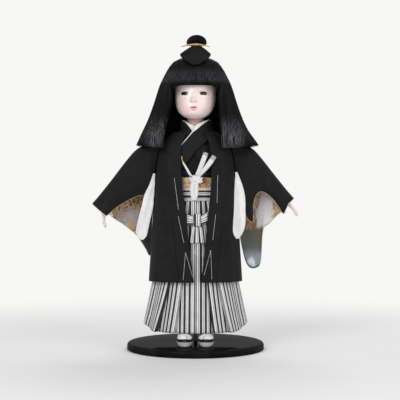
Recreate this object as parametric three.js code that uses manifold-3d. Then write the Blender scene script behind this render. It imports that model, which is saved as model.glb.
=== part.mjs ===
// A boy ichimatsu doll on its round stand board, in millimetres, +Z up.
// The origin is the centre of the board's underside, and the doll faces -Y.
// Left and right are the doll's own, so its left is +X.
// Heights of the doll's pieces are measured from the board's top.
import * as THREE from 'three';
import { mergeVertices } from 'three/addons/utils/BufferGeometryUtils.js';
import Module from 'manifold-3d';

const wasm = await Module();
wasm.setup();

// Clearances
const seatGap = 0.3;
const cutOverrun = 2;

// Stand board, post and screw
const boardRadius = 105;
const boardThickness = 11;
const boardRounding = 4.5;
const boardChamfer = 1.2;
const postRadius = 2.5;
const postSetBack = 9;
const postSocketDepth = 5;
const postTop = 214;
const postTipLength = 4;
const postScrewHoleDepth = 9;
const screwHeadRadius = 4;
const screwHeadDepth = 2.4;
const screwRecess = 0.6;
const screwRadius = 1.3;
const screwBite = 7;

// Torso, with the shape that the robes follow down to their hem
const bodyHeight = 325;
const chestHalfWidth = 46;
const chestHalfDepth = 29;
const bodySquareness = 2.4;
const bodyShares = [
  [0.15, 0.8, 0.94], [0.46, 0.9, 1.02], [0.69, 0.91, 1], [0.815, 1, 1], [0.892, 1, 0.9],
  [0.925, 0.93, 0.81], [0.948, 0.83, 0.7], [0.975, 0.6, 0.58], [1, 0.38, 0.5],
];
const torsoBottom = 150;
const torsoBelowNape = 8;
const torsoTop = bodyHeight - torsoBelowNape;
const postBoreGap = 0.35;

// Legs and feet
const footSpread = 16;
const soleLength = 60;
const soleHalfWidth = 13.7;
const soleThickness = 8.5;
const soleBaseShare = 0.72;
const soleToe = -67;
const footHalfWidth = 12.4;
const footLength = 55;
const footHeight = 27;
const toeHeight = 8.4;
const toeSlotWidth = 1.2;
const toeSlotLength = 13;
const thongRadius = 1.6;
const ankleRadius = 7;
const calfRadius = 10.5;
const hipRadius = 11.5;
const ankleSetBack = -20;
const hipSetBack = -8;
const legPegRadius = 6;
const legPegLength = 12;
const legSoleInset = 14;

// Robe, its collars and the sash
const kimonoCloth = 1.5;
const kimonoHem = 60;
const collarCloth = 0.8;
const collarEase = 0.95;
const collarSeatEase = 0.25;
const underCollarWidth = 9.5;
const underCollarShow = 1;
const kimonoCollarWidth = 19.5;
const collarRise = 15.5;
const collarNape = bodyHeight + collarRise;
const collarFall = 27.5;
// Both collars run round the neck: angle in half turns, and share of the fall below the nape
const underCollarShares = [
  [0.03, 0.5], [-0.035, 0.34], [-0.12, 0.24], [-0.204, 0.16], [-0.35, 0.04], [-0.6, 0], [-0.8, 0],
  [-1, 0], [-1.2, 0], [-1.4, 0], [-1.65, 0], [-1.78, 0.05], [-1.9, 0.16], [-1.99, 0.32],
  [-2.04, 0.68], [-2.086, 1.14], [-2.14, 1.63],
];
const kimonoCollarShares = [
  [0.26, 2.7], [0.171, 2.2], [0.118, 1.87], [0.079, 1.52], [0.031, 1.145], [-0.031, 0.7],
  [-0.105, 0.42], [-0.183, 0.215], [-0.28, 0.05], [-0.5, 0], [-0.75, 0], [-1, 0], [-1.25, 0],
  [-1.5, 0], [-1.68, 0], [-1.77, 0.06], [-1.845, 0.18], [-1.923, 0.345], [-2.022, 0.7],
  [-2.074, 1.2], [-2.128, 1.705], [-2.2, 2.2], [-2.28, 2.65],
];
const obiBottom = 231.7;
const obiTop = 251.7;
const obiCloth = 2;

// Pleated trousers with their tied band
const bandCloth = 2.4;
const bandHeight = 15;
const hakamaCloth = 1.6;
const hakamaHemFront = 18.5;
const hakamaHemSide = 30;
const hakamaHemHalfWidth = 81;
const hakamaHemHalfDepth = 51;
const hakamaWaistOut = 2.2;
const hakamaPleats = 9;
const hakamaPleatDepth = 4.2;
const bowCentreX = 2.5;
const bowHeight = 187.5;
const bowHalfWidth = 14.4;
const bowHalfHeight = 9;
const bowThickness = 3.4;
const bowKnotHalfWidth = 4;
const bowTailHalfWidth = 10.5;
const bowTailBottom = 153;
const bowTailThickness = 1.6;

// Coat, its collar bands and the armholes
const haoriCloth = 1.5;
const haoriHem = 94;
const haoriWaist = 225;
const haoriChestDrop = 35;
const haoriChest = bodyHeight - haoriChestDrop;
const haoriHemEase = 3.4;
const haoriWaistEase = 18;
const haoriWaistFrontEase = 11;
const haoriChestEase = 7.6;
const haoriNeckEase = 8.2;
const haoriBelowNape = 5;
const haoriTop = bodyHeight - haoriBelowNape;
const haoriBandWidth = 21;
const haoriBandCloth = 2.6;
const haoriOpening = 23.5;
// Place up the coat, and how far its left and right edges stand from the middle
const haoriOpeningShares = [
  [0, 0.383, 0.102], [0.248, 0.617, 0.383], [0.469, 0.83, 0.617], [0.668, 1, 0.851],
  [0.845, 0.957, 0.915], [0.934, 0.851, 0.851], [1, 0.511, 0.511],
];
const armholeRadius = 12.5;

// Arms, hands and sleeves; the reach, fall and hand angle are set for each side
const armRadius = 7;
const wristRadius = 4.6;
const armWireRadius = 1.1;
const sleeveCloth = 1.3;
const liningCloth = 0.9;
const liningEase = 0.6;
const sleeveDrop = 193;
const shoulderBelowNape = 19;
const sleeveHeight = bodyHeight - shoulderBelowNape;
const sleeveStart = 52;
const armForward = 8;
const sleeveHangBulge = 2.5;
const sleeveFromShare = 0.07;
const cuffFlare = 2;
const wristShare = 0.9;
const leftReach = 98.6;
const leftCuffFall = 85.4;
const leftHandAngle = 50;
const rightReach = 106;
const rightCuffFall = 93.6;
const rightHandAngle = 93;
const handLength = 29;
const palmShare = 0.5;
const palmHalfWidth = 6.4;
const palmHalfThickness = 3.4;
const fingerRadius = 1.75;
const thumbRadius = 1.9;
const sleeveTopShares = [
  [0, 0], [0.08, 0.001], [0.17, 0.012], [0.29, 0.06], [0.39, 0.14], [0.48, 0.255],
  [0.58, 0.4], [0.69, 0.565], [0.8, 0.725], [0.905, 0.875], [1, 1],
];
const leftFrontShares = [
  [0.1, 0.228], [0.162, 0.342], [0.223, 0.47], [0.264, 0.585], [0.36, 0.627], [0.365, 0.513],
  [0.406, 0.42], [0.507, 0.391], [0.65, 0.44], [0.75, 0.505], [0.825, 0.57],
];
const leftRearShares = [
  [0.122, 0.342], [0.162, 0.523], [0.172, 0.705], [0.239, 0.907], [0.314, 0.992], [0.426, 0.997],
  [0.492, 0.943], [0.527, 0.703], [0.629, 0.642], [0.74, 0.583], [0.852, 0.534],
];
const rightFrontShares = [
  [0.094, 0.228], [0.132, 0.306], [0.17, 0.363], [0.217, 0.404], [0.264, 0.42], [0.321, 0.421],
  [0.406, 0.44], [0.509, 0.469], [0.613, 0.504], [0.708, 0.544], [0.783, 0.584],
];
const rightRearShares = [
  [0.113, 0.368], [0.151, 0.575], [0.17, 0.756], [0.184, 0.891], [0.245, 0.839], [0.311, 0.782],
  [0.379, 0.731], [0.481, 0.684], [0.585, 0.642], [0.689, 0.606], [0.802, 0.554],
];
// White sleeve ends: height share of the drop, inner and outer edge as shares of the reach
const underSleeveCloth = 3.4;
const leftUnderShares = [
  [0.238, 0.09, 0.125], [0.342, 0.075, 0.2], [0.435, 0.068, 0.24], [0.55, 0.06, 0.243],
  [0.653, 0.045, 0.24], [0.72, 0.05, 0.2], [0.762, 0.09, 0.145],
];
const rightUnderShares = [
  [0.248, 0.092, 0.12], [0.342, 0.095, 0.18], [0.415, 0.098, 0.242], [0.523, 0.125, 0.288],
  [0.627, 0.17, 0.335], [0.705, 0.2, 0.363], [0.746, 0.222, 0.34], [0.772, 0.264, 0.302],
];

// Head, eyes and neck
const headHalfWidth = 32;
const headFrontDepth = 36;
const headBackDepth = 38;
const headRise = 61;
const headMiddle = bodyHeight + headRise;
const headSetBack = -4;
const crownRise = 46;
const chinDrop = 45;
const crownSquareness = 2.2;
const jawSquareness = 2.8;
const jawForward = 17;
const headTurn = -4;
const noseDrop = 19;
const noseHeight = headMiddle - noseDrop;
const noseRise = 4.2;
const noseHalfWidth = 4.6;
const noseHalfHeight = 8;
const eyeDrop = 8;
const eyeHeight = headMiddle - eyeDrop;
const eyeSpread = 15.2;
const eyeRadius = 7.4;
const eyeHeightShare = 0.62;
const eyeBulge = 0.5;
const neckRadius = 12.5;
const neckPegRadius = 7;
const neckPegLength = 16;

// Hair: half widths and depths of its bell shape, as shares, from the crown down
const hairRise = 54;
const hairDrop = 90;
const hairSideLift = 7;
const hairTop = headMiddle + hairRise;
const hairHem = headMiddle - hairDrop;
const hairHemSide = hairHem + hairSideLift;
const hairHalfWidth = 93;
const hairFrontDepth = 45;
const hairBackDepth = 52;
const hairThickness = 7.5;
const hairSquareness = 2.2;
const hairShares = [
  [0, 1, 0.86, 0.98], [0.14, 0.9, 0.88, 0.98], [0.32, 0.77, 0.9, 0.98], [0.5, 0.67, 0.92, 0.98],
  [0.67, 0.585, 0.965, 0.95], [0.77, 0.51, 0.93, 0.88], [0.86, 0.43, 0.8, 0.76],
  [0.93, 0.33, 0.6, 0.58], [1, 0.06, 0.1, 0.1],
];
const fringeHalfWidth = 33.5;
const fringeTopDrop = 8;
const fringeTop = hairTop - fringeTopDrop;
const fringeDepthShare = 0.45;
const hairPartRise = 5;
const hairPartHeight = headMiddle + hairPartRise;
const fallFrontTop = 33.5;
const fallFrontBottomLeft = 40;
const fallFrontBottomRight = 50;
const backHairSplit = 0.62;

// Topknot; the tail's reach is set by shares at places from one corner of its fan to the other
const knotSideways = 1.8;
const knotRootHeight = 13.5;
const knotRootHalfWidth = 6.5;
const knotRootHalfDepth = 5;
const knotLoopWidth = 34.5;
const knotLoopHeight = 15.5;
const knotLoopRadius = 4;
const knotBarRadius = 2;
const knotTieRadius = 1;
const knotTieReach = 21.5;
const knotTieDrop = 3.4;
const knotTieShares = [1, 1.6, 1];
const knotArchShares = [0.5, 1, 0.6, 1, 0.5];
const knotTailReach = 46;
const knotTailDrop = 32;
const knotTailForward = 33;
const knotTailSpread = 52;
const knotTailThickness = 2.6;
const knotTailShares = [0.64, 0.76, 0.88, 1, 0.88, 0.76, 0.64];

// Coat cord: its routes are chosen by hand, each point as X, Y and height
const cordRadius = 1.5;
const tasselRadius = 2.7;
const cordKnotRadius = 4.2;
const cordKnot = [0.5, -43, 249.5];
const rightStrandRoute = [[-2, -44, 254], [-7, -43.5, 262], [-14, -41.5, 272], [-20.5, -39.5, 283]];
const upperTasselRoute = [[2, -45, 254.5], [6, -44.5, 263], [11, -43, 275], [16, -41, 288.5]];
const lowerTasselRoute = [[4.3, -44, 253], [11, -44, 260], [20, -43, 271], [28.5, -40.5, 283.5]];
const cordLoopRoute = [
  [-2.6, -44.5, 245], [-4.6, -44.5, 237], [-3, -44, 229], [0, -43.8, 226.5],
  [3, -44, 229], [4.4, -44.5, 237], [2.8, -44.5, 245],
];
const leftHookRoute = [[5, -45.5, 250.5], [11, -46.2, 253], [17, -45.5, 256.5], [23.5, -42, 256]];
const rightHookRoute = [[-4, -45.5, 251], [-9, -46.4, 254], [-15, -45.7, 258], [-21, -42, 259]];

// Colours
const black = 0x121214;
const blackCloth = 0x17171a;
const lacquer = 0x0d0c0c;
const skin = 0xf3e3da;
const white = 0xf4f4f2;
const stripe = 0x8f8f90;
const brocade = 0xb08c58;
const hairBlack = 0x0b0b0d;
const wood = 0xc7a573;
const steel = 0x9a9a9c;
const lavender = 0xcfcbd8;
const gold = 0xc79a45;

const mergeDistance = 1e-4;
const bodySides = 24;
const haoriRows = 8;
const model = new THREE.Group();
const doll = new THREE.Group();
doll.position.z = boardThickness;
model.add(doll);

function addPiece(group, name, geometry, color, roughness = 0.8, metalness = 0) {
  const material = new THREE.MeshStandardMaterial({ color, roughness, metalness });
  const mesh = new THREE.Mesh(geometry, material);
  mesh.name = name;
  group.add(mesh);
  return mesh;
}

// Values that follow a table of places
function smoothAt(places, values, place) {
  const last = places.length - 1;
  if (place <= places[0]) return values[0];
  if (place >= places[last]) return values[last];
  let i = 0;
  while (place > places[i + 1]) i += 1;
  const slope = (k) => {
    const before = Math.max(k - 1, 0);
    const after = Math.min(k + 1, last);
    return (values[after] - values[before]) / (places[after] - places[before]);
  };
  const step = places[i + 1] - places[i];
  const t = (place - places[i]) / step;
  const start = values[i] * (1 + 2 * t) * (1 - t) ** 2 + slope(i) * step * t * (1 - t) ** 2;
  const end = values[i + 1] * (3 - 2 * t) * t ** 2 - slope(i + 1) * step * (1 - t) * t ** 2;
  return start + end;
}

function columnAt(table, column, place) {
  return smoothAt(table.map((row) => row[0]), table.map((row) => row[column]), place);
}

function evenlyAt(values, t) {
  return smoothAt(values.map((value, i) => i / (values.length - 1)), values, t);
}

function straightAt(table, column, place) {
  const last = table.length - 1;
  if (place >= table[last][0]) return table[last][column];
  const i = Math.max(table.findIndex((row) => row[0] > place) - 1, 0);
  const [start, end] = [table[i], table[i + 1]];
  const t = Math.max((place - start[0]) / (end[0] - start[0]), 0);
  return start[column] + (end[column] - start[column]) * t;
}

function evenlyStraight(values, t) {
  const place = t * (values.length - 1);
  const i = Math.min(Math.floor(place + 1e-9), values.length - 2);
  return values[i] + (values[i + 1] - values[i]) * (place - i);
}

function easeBetween(low, high, value) {
  const t = Math.min(Math.max((value - low) / (high - low), 0), 1);
  return t * t * (3 - 2 * t);
}

// Closed solids
function volumeOf(points, corners) {
  let volume = 0;
  for (let i = 0; i < corners.length; i += 3) {
    const [a, b, c] = [points[corners[i]], points[corners[i + 1]], points[corners[i + 2]]];
    volume += a.dot(new THREE.Vector3().crossVectors(b, c));
  }
  return volume;
}

function closedSolid(points, corners) {
  const kept = [];
  const inward = volumeOf(points, corners) < 0;
  for (let i = 0; i < corners.length; i += 3) {
    const [a, b, c] = [corners[i], corners[i + 1], corners[i + 2]];
    kept.push(a, inward ? c : b, inward ? b : c);
  }
  const geometry = new THREE.BufferGeometry().setFromPoints(points);
  geometry.setIndex(kept);
  return geometry;
}

function fromThree(source) {
  source.deleteAttribute('normal');
  source.deleteAttribute('uv');
  const merged = mergeVertices(source, mergeDistance);
  const places = merged.attributes.position;
  const points = [];
  for (let i = 0; i < places.count; i += 1) {
    points.push(new THREE.Vector3().fromBufferAttribute(places, i));
  }
  const corners = [];
  for (let i = 0; i < merged.index.count; i += 3) {
    const [a, b, c] = [0, 1, 2].map((k) => merged.index.getX(i + k));
    if (a !== b && b !== c && c !== a) corners.push(a, b, c);
  }
  return closedSolid(points, corners);
}

function toManifold(geometry) {
  const vertProperties = new Float32Array(geometry.attributes.position.array);
  const triVerts = new Uint32Array(geometry.index.array);
  return new wasm.Manifold(new wasm.Mesh({ numProp: 3, vertProperties, triVerts }));
}

function fromManifold(solid) {
  const mesh = solid.getMesh();
  const geometry = new THREE.BufferGeometry();
  geometry.setAttribute('position', new THREE.BufferAttribute(mesh.vertProperties, 3));
  geometry.setIndex(new THREE.BufferAttribute(mesh.triVerts, 1));
  return geometry;
}

function cut(geometry, ...tools) {
  const without = (solid, tool) => solid.subtract(toManifold(tool));
  return fromManifold(tools.reduce(without, toManifold(geometry)));
}

function join(...pieces) {
  return fromManifold(pieces.map(toManifold).reduce((solid, piece) => solid.add(piece)));
}

function common(one, other) {
  return fromManifold(toManifold(one).intersect(toManifold(other)));
}

function turned(profile, segments) {
  const outline = profile.map(([radius, height]) => new THREE.Vector2(radius, height));
  return fromThree(new THREE.LatheGeometry(outline, segments).rotateX(Math.PI / 2));
}

function rod(radius, bottom, top, segments = 16) {
  return turned([[0, bottom], [radius, bottom], [radius, top], [0, top]], segments);
}

function block(low, high) {
  const size = new THREE.Vector3().subVectors(high, low);
  const middle = new THREE.Vector3().addVectors(low, high).multiplyScalar(0.5);
  const box = new THREE.BoxGeometry(size.x, size.y, size.z);
  return fromThree(box.translate(middle.x, middle.y, middle.z));
}

function ball(radii, centre, around = 16, upright = 10) {
  const sphere = new THREE.SphereGeometry(1, around, upright).rotateX(Math.PI / 2);
  sphere.scale(radii.x, radii.y, radii.z);
  return fromThree(sphere.translate(centre.x, centre.y, centre.z));
}

function evenRadii(radius) {
  return new THREE.Vector3(radius, radius, radius);
}

// A body with a closed ring of places at each step and a cap at both ends
function loft(place, steps, sides) {
  const points = [];
  const corners = [];
  for (let i = 0; i <= steps; i += 1) {
    for (let k = 0; k < sides; k += 1) {
      points.push(place(i / steps, (2 * Math.PI * k) / sides));
    }
  }
  const corner = (i, k) => i * sides + (k % sides);
  for (let i = 0; i < steps; i += 1) {
    for (let k = 0; k < sides; k += 1) {
      corners.push(corner(i, k), corner(i, k + 1), corner(i + 1, k + 1));
      corners.push(corner(i, k), corner(i + 1, k + 1), corner(i + 1, k));
    }
  }
  for (const end of [0, steps]) {
    const middle = new THREE.Vector3();
    for (let k = 0; k < sides; k += 1) middle.add(points[corner(end, k)]);
    points.push(middle.divideScalar(sides));
    for (let k = 0; k < sides; k += 1) {
      const [first, second] = end === 0 ? [k + 1, k] : [k, k + 1];
      corners.push(points.length - 1, corner(end, first), corner(end, second));
    }
  }
  return closedSolid(points, corners);
}

// A round body along a curve, its radius given by shares of one radius
function limb(points, radius, radiusShares, steps, sides) {
  const path = new THREE.CatmullRomCurve3(points);
  const across = new THREE.Vector3();
  const upright = new THREE.Vector3();
  const depth = new THREE.Vector3(0, 1, 0);
  return loft((t, angle) => {
    const along = path.getTangentAt(t);
    across.crossVectors(depth, along).normalize();
    upright.crossVectors(along, across);
    const reach = radius * evenlyAt(radiusShares, t);
    return path.getPointAt(t)
      .addScaledVector(across, reach * Math.cos(angle))
      .addScaledVector(upright, reach * Math.sin(angle));
  }, steps, sides);
}

// A cloth: the surface and a second one at the cloth's thickness outside it
function slab(surface, thickness, stepsU, stepsV, closed = false) {
  const nudge = 1e-3;
  const outside = (u, v) => {
    const u0 = closed ? u - nudge : Math.max(u - nudge, 0);
    const u1 = closed ? u + nudge : Math.min(u + nudge, 1);
    const [v0, v1] = [Math.max(v - nudge, 0), Math.min(v + nudge, 1)];
    const alongU = new THREE.Vector3().subVectors(surface(u1, v), surface(u0, v));
    const alongV = new THREE.Vector3().subVectors(surface(u, v1), surface(u, v0));
    const normal = new THREE.Vector3().crossVectors(alongU, alongV).normalize();
    return surface(u, v).addScaledVector(normal, thickness);
  };
  return shell(surface, outside, stepsU, stepsV, closed);
}

// A closed body between an inner and an outer surface
function shell(inside, outside, stepsU, stepsV, closed = false) {
  const columns = closed ? stepsU : stepsU + 1;
  const rows = stepsV + 1;
  const inner = [];
  const outer = [];
  for (let i = 0; i < columns; i += 1) {
    for (let j = 0; j < rows; j += 1) {
      inner.push(inside(i / stepsU, j / stepsV));
      outer.push(outside(i / stepsU, j / stepsV));
    }
  }
  const corners = [];
  const count = inner.length;
  const corner = (side, i, j) => side * count + (i % columns) * rows + j;
  const quad = (a, b, c, d) => corners.push(a, b, c, a, c, d);
  for (let i = 0; i < stepsU; i += 1) {
    for (let j = 0; j < stepsV; j += 1) {
      quad(corner(1, i, j), corner(1, i + 1, j), corner(1, i + 1, j + 1), corner(1, i, j + 1));
      quad(corner(0, i, j), corner(0, i, j + 1), corner(0, i + 1, j + 1), corner(0, i + 1, j));
    }
    quad(corner(0, i, 0), corner(0, i + 1, 0), corner(1, i + 1, 0), corner(1, i, 0));
    const top = stepsV;
    quad(corner(0, i + 1, top), corner(0, i, top), corner(1, i, top), corner(1, i + 1, top));
  }
  for (let j = 0; j < stepsV && !closed; j += 1) {
    const end = stepsU;
    quad(corner(0, 0, j + 1), corner(0, 0, j), corner(1, 0, j), corner(1, 0, j + 1));
    quad(corner(0, end, j), corner(0, end, j + 1), corner(1, end, j + 1), corner(1, end, j));
  }
  return closedSolid([...inner, ...outer], corners);
}

// Rounded-square rings: the angle runs from the front (-Y) towards +X
function ringPoint(halfWidth, halfDepth, squareness, angle, height) {
  const power = 2 / squareness;
  const x = halfWidth * Math.sign(Math.sin(angle)) * Math.abs(Math.sin(angle)) ** power;
  const y = -halfDepth * Math.sign(Math.cos(angle)) * Math.abs(Math.cos(angle)) ** power;
  return new THREE.Vector3(x, y, height);
}

// The angle beyond a ring's side at which its depth has reached the seat gap
function sideGapAngle(halfDepth) {
  return (seatGap / halfDepth) ** (bodySquareness / 2);
}

function angleAtX(x, halfWidth, squareness) {
  const share = Math.min(Math.abs(x) / halfWidth, 1);
  return Math.sign(x) * Math.asin(share ** (squareness / 2));
}

function bodyAt(height, out = 0) {
  const share = height / bodyHeight;
  return {
    halfWidth: chestHalfWidth * straightAt(bodyShares, 1, share) + out,
    halfDepth: chestHalfDepth * straightAt(bodyShares, 2, share) + out,
  };
}

// Heights of the torso's rings, which the robe over it shares
const bodyLevels = bodyShares.map((row) => bodyHeight * row[0]);
const torsoLevels = [
  torsoBottom, ...bodyLevels.filter((height) => height > torsoBottom && height < torsoTop), torsoTop,
];

function onBody(angle, height, out) {
  const { halfWidth, halfDepth } = bodyAt(height, out);
  return ringPoint(halfWidth, halfDepth, bodySquareness, angle, height);
}

// How far each layer lies outside the torso
const kimonoIn = seatGap;
const kimonoOut = kimonoIn + kimonoCloth;
const bandIn = kimonoOut + seatGap;
const hakamaTop = obiBottom - bandHeight - 2 * seatGap;

function hakamaAt(height) {
  const top = bodyAt(hakamaTop, kimonoOut + hakamaWaistOut);
  const t = Math.max((hakamaTop - height) / (hakamaTop - hakamaHemFront), 0);
  const flare = 0.62 * t + 0.38 * t ** 1.6;
  return {
    halfWidth: top.halfWidth + (hakamaHemHalfWidth - top.halfWidth) * flare,
    halfDepth: top.halfDepth + (hakamaHemHalfDepth - top.halfDepth) * flare,
  };
}

const haoriStations = (() => {
  const hem = hakamaAt(haoriHem);
  const waist = bodyAt(haoriWaist, kimonoOut);
  const chest = bodyAt(haoriChest, kimonoOut + haoriChestEase);
  const shoulderHeight = bodyHeight * 0.948;
  const shoulder = bodyAt(shoulderHeight, kimonoOut + haoriChestEase);
  const neck = bodyAt(haoriTop, kimonoOut + haoriNeckEase);
  const ease = hakamaCloth + haoriHemEase;
  return [
    [haoriHem, hem.halfWidth + ease, hem.halfDepth + ease],
    [haoriWaist, waist.halfWidth + haoriWaistEase, waist.halfDepth + haoriWaistFrontEase],
    [haoriChest, chest.halfWidth, chest.halfDepth],
    [shoulderHeight, shoulder.halfWidth, shoulder.halfDepth],
    [haoriTop, neck.halfWidth, neck.halfDepth],
  ];
})();

function haoriAt(height) {
  return {
    halfWidth: columnAt(haoriStations, 1, height),
    halfDepth: columnAt(haoriStations, 2, height),
  };
}

function onHaori(angle, height, out) {
  const { halfWidth, halfDepth } = haoriAt(height);
  return ringPoint(halfWidth + out, halfDepth + out, bodySquareness, angle, height);
}

// Sleeves and the arms inside them
const sleeveInRadius = armRadius + seatGap + liningCloth + liningEase;
const sleeveOutRadius = sleeveInRadius + sleeveCloth;
const arms = {
  left: {
    side: 1, reach: leftReach, cuffFall: leftCuffFall, handAngle: leftHandAngle,
    front: leftFrontShares, rear: leftRearShares, under: leftUnderShares,
  },
  right: {
    side: -1, reach: rightReach, cuffFall: rightCuffFall, handAngle: rightHandAngle,
    front: rightFrontShares, rear: rightRearShares, under: rightUnderShares,
  },
};

function sleeveTopAt(arm, u) {
  const across = evenlyAt(sleeveTopShares.map((share) => share[0]), u);
  const fall = evenlyAt(sleeveTopShares.map((share) => share[1]), u);
  return new THREE.Vector3(sleeveStart + arm.reach * across, 0, sleeveHeight - arm.cuffFall * fall);
}

function sleeveEdgeAt(arm, shares, u) {
  const across = evenlyAt(shares.map((share) => share[0]), u);
  const fall = evenlyAt(shares.map((share) => share[1]), u);
  return new THREE.Vector3(sleeveStart + arm.reach * across, 0, sleeveHeight - sleeveDrop * fall);
}

function cuffFlareAt(u) {
  return cuffFlare * easeBetween(0.6, 1, u);
}

// The arm's middle line lies under the sleeve's top fold, and its normal points up and out
function armLineAt(arm, u) {
  const nudge = 0.02;
  const before = sleeveTopAt(arm, Math.max(u - nudge, 0));
  const after = sleeveTopAt(arm, Math.min(u + nudge, 1));
  const along = after.sub(before).normalize();
  const normal = new THREE.Vector3(-along.z, 0, along.x);
  const point = sleeveTopAt(arm, u).addScaledVector(normal, -sleeveOutRadius - cuffFlareAt(u));
  point.y = -armForward * u;
  return { point, normal, along };
}

// Rows of the sleeve's cloth: the panels at the front and rear, and the fold round the arm
const sleeveColumns = 12;
const liningInsetShare = 0.012;
const foldRows = { panel: 3, arc: 6, all: 12 };

// v runs from the front free edge over the top fold to the rear free edge
function sleevePlace(arm, lineRadius, u, v, inset) {
  const frontShare = foldRows.panel / foldRows.all;
  const rearShare = 1 - frontShare;
  const radius = (lineRadius + cuffFlareAt(u)) / Math.cos(Math.PI / (2 * foldRows.arc));
  const { point, normal } = armLineAt(arm, u);
  const place = new THREE.Vector3();
  if (v >= frontShare && v <= rearShare) {
    const angle = Math.PI * ((v - frontShare) / (rearShare - frontShare) - 0.5);
    place.copy(point).addScaledVector(normal, radius * Math.cos(angle));
    place.y += radius * Math.sin(angle);
  } else {
    const isFront = v < frontShare;
    const hang = isFront ? (frontShare - v) / frontShare : (v - rearShare) / (1 - rearShare);
    const facing = isFront ? -1 : 1;
    const edge = sleeveEdgeAt(arm, isFront ? arm.front : arm.rear, u);
    edge.y = point.y + facing * radius;
    place.copy(point);
    place.y += facing * radius;
    place.lerp(edge, hang * (1 - inset));
    place.y += facing * sleeveHangBulge * Math.sin(Math.PI * hang) * easeBetween(0, 0.3, u);
  }
  place.x *= arm.side;
  return place;
}

function armPoint(arm, u) {
  const { point } = armLineAt(arm, u);
  point.x *= arm.side;
  return point;
}

// A round body along the arm's middle line, with a ring at each of the places given
function alongArm(arm, places, radii, sides) {
  return loft((t, angle) => {
    const i = Math.round(t * (places.length - 1));
    const { point, normal } = armLineAt(arm, places[i]);
    point.addScaledVector(normal, radii[i] * Math.cos(angle));
    point.y += radii[i] * Math.sin(angle);
    point.x *= arm.side;
    return point;
  }, places.length - 1, sides);
}

// Stand board with the post screwed to it from below
function makeStand() {
  const profile = [[0, 0], [boardRadius - boardChamfer, 0], [boardRadius, boardChamfer]];
  const roundSteps = 4;
  for (let i = 0; i <= roundSteps; i += 1) {
    const angle = (Math.PI / 2) * (i / roundSteps);
    const radius = boardRadius - boardRounding * (1 - Math.cos(angle));
    profile.push([radius, boardThickness - boardRounding * (1 - Math.sin(angle))]);
  }
  profile.push([0, boardThickness]);
  const socketFloor = boardThickness - postSocketDepth;
  const headTop = screwRecess + screwHeadDepth;
  const screwHole = turned([
    [0, -cutOverrun], [screwHeadRadius + seatGap, -cutOverrun], [screwHeadRadius + seatGap, screwRecess],
    [screwRadius + seatGap, headTop], [screwRadius + seatGap, socketFloor + cutOverrun],
    [0, socketFloor + cutOverrun],
  ], 16).translate(0, postSetBack, 0);
  const socket = rod(postRadius + seatGap, socketFloor, boardThickness + cutOverrun, 16);
  const board = cut(turned(profile, 44), screwHole, socket.translate(0, postSetBack, 0));
  addPiece(model, 'stand_board', board, lacquer, 0.12);

  const postFoot = socketFloor + seatGap;
  const postEnd = boardThickness + postTop;
  const post = turned([
    [0, postFoot], [postRadius, postFoot], [postRadius, postEnd - postTipLength],
    [postRadius * 0.4, postEnd], [0, postEnd],
  ], 16);
  const holeTop = postFoot + postScrewHoleDepth;
  const threadHole = rod(screwRadius + seatGap, postFoot - cutOverrun, holeTop, 16);
  addPiece(model, 'support_post', cut(post, threadHole), wood, 0.6).position.y = postSetBack;

  const screw = turned([
    [0, screwRecess], [screwHeadRadius, screwRecess], [screwRadius, headTop],
    [screwRadius, postFoot + screwBite], [0, postFoot + screwBite],
  ], 16);
  addPiece(model, 'post_screw', screw, steel, 0.3, 0.9).position.y = postSetBack;
}

// Torso with its bores for the post, the legs, the neck and the shoulder wire
function makeTorso() {
  const ringAt = (t, angle) => onBody(angle, evenlyStraight(torsoLevels, t), 0);
  const solid = loft(ringAt, torsoLevels.length - 1, bodySides);
  const postBore = rod(postRadius + postBoreGap, torsoBottom - cutOverrun, postTop + seatGap, 12);
  const neckFloor = torsoTop - neckPegLength - seatGap;
  const neckBore = rod(neckPegRadius + seatGap, neckFloor, torsoTop + cutOverrun, 16);
  const tools = [postBore.translate(0, postSetBack, 0), neckBore.translate(0, headSetBack, 0)];
  for (const side of [-1, 1]) {
    const boreTop = torsoBottom + legPegLength + seatGap;
    const bore = rod(legPegRadius + seatGap, torsoBottom - cutOverrun, boreTop, 12);
    tools.push(bore.translate(side * footSpread, hipSetBack, 0));
  }
  const pivot = armPoint(arms.left, 0);
  const wire = rod(armWireRadius + seatGap, -chestHalfWidth * 2, chestHalfWidth * 2, 8);
  tools.push(wire.rotateY(Math.PI / 2).translate(0, 0, pivot.z));
  for (const arm of Object.values(arms)) {
    tools.push(ball(evenRadii(armRadius + seatGap), armPoint(arm, 0), 14, 8));
  }
  addPiece(doll, 'torso', cut(solid, ...tools), wood, 0.8);

  const wireReach = pivot.x - armRadius - seatGap;
  const shoulderWire = rod(armWireRadius, -wireReach, wireReach, 8);
  addPiece(doll, 'shoulder_wire', shoulderWire.rotateY(Math.PI / 2), steel, 0.4, 0.8).position.z = pivot.z;
}

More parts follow.
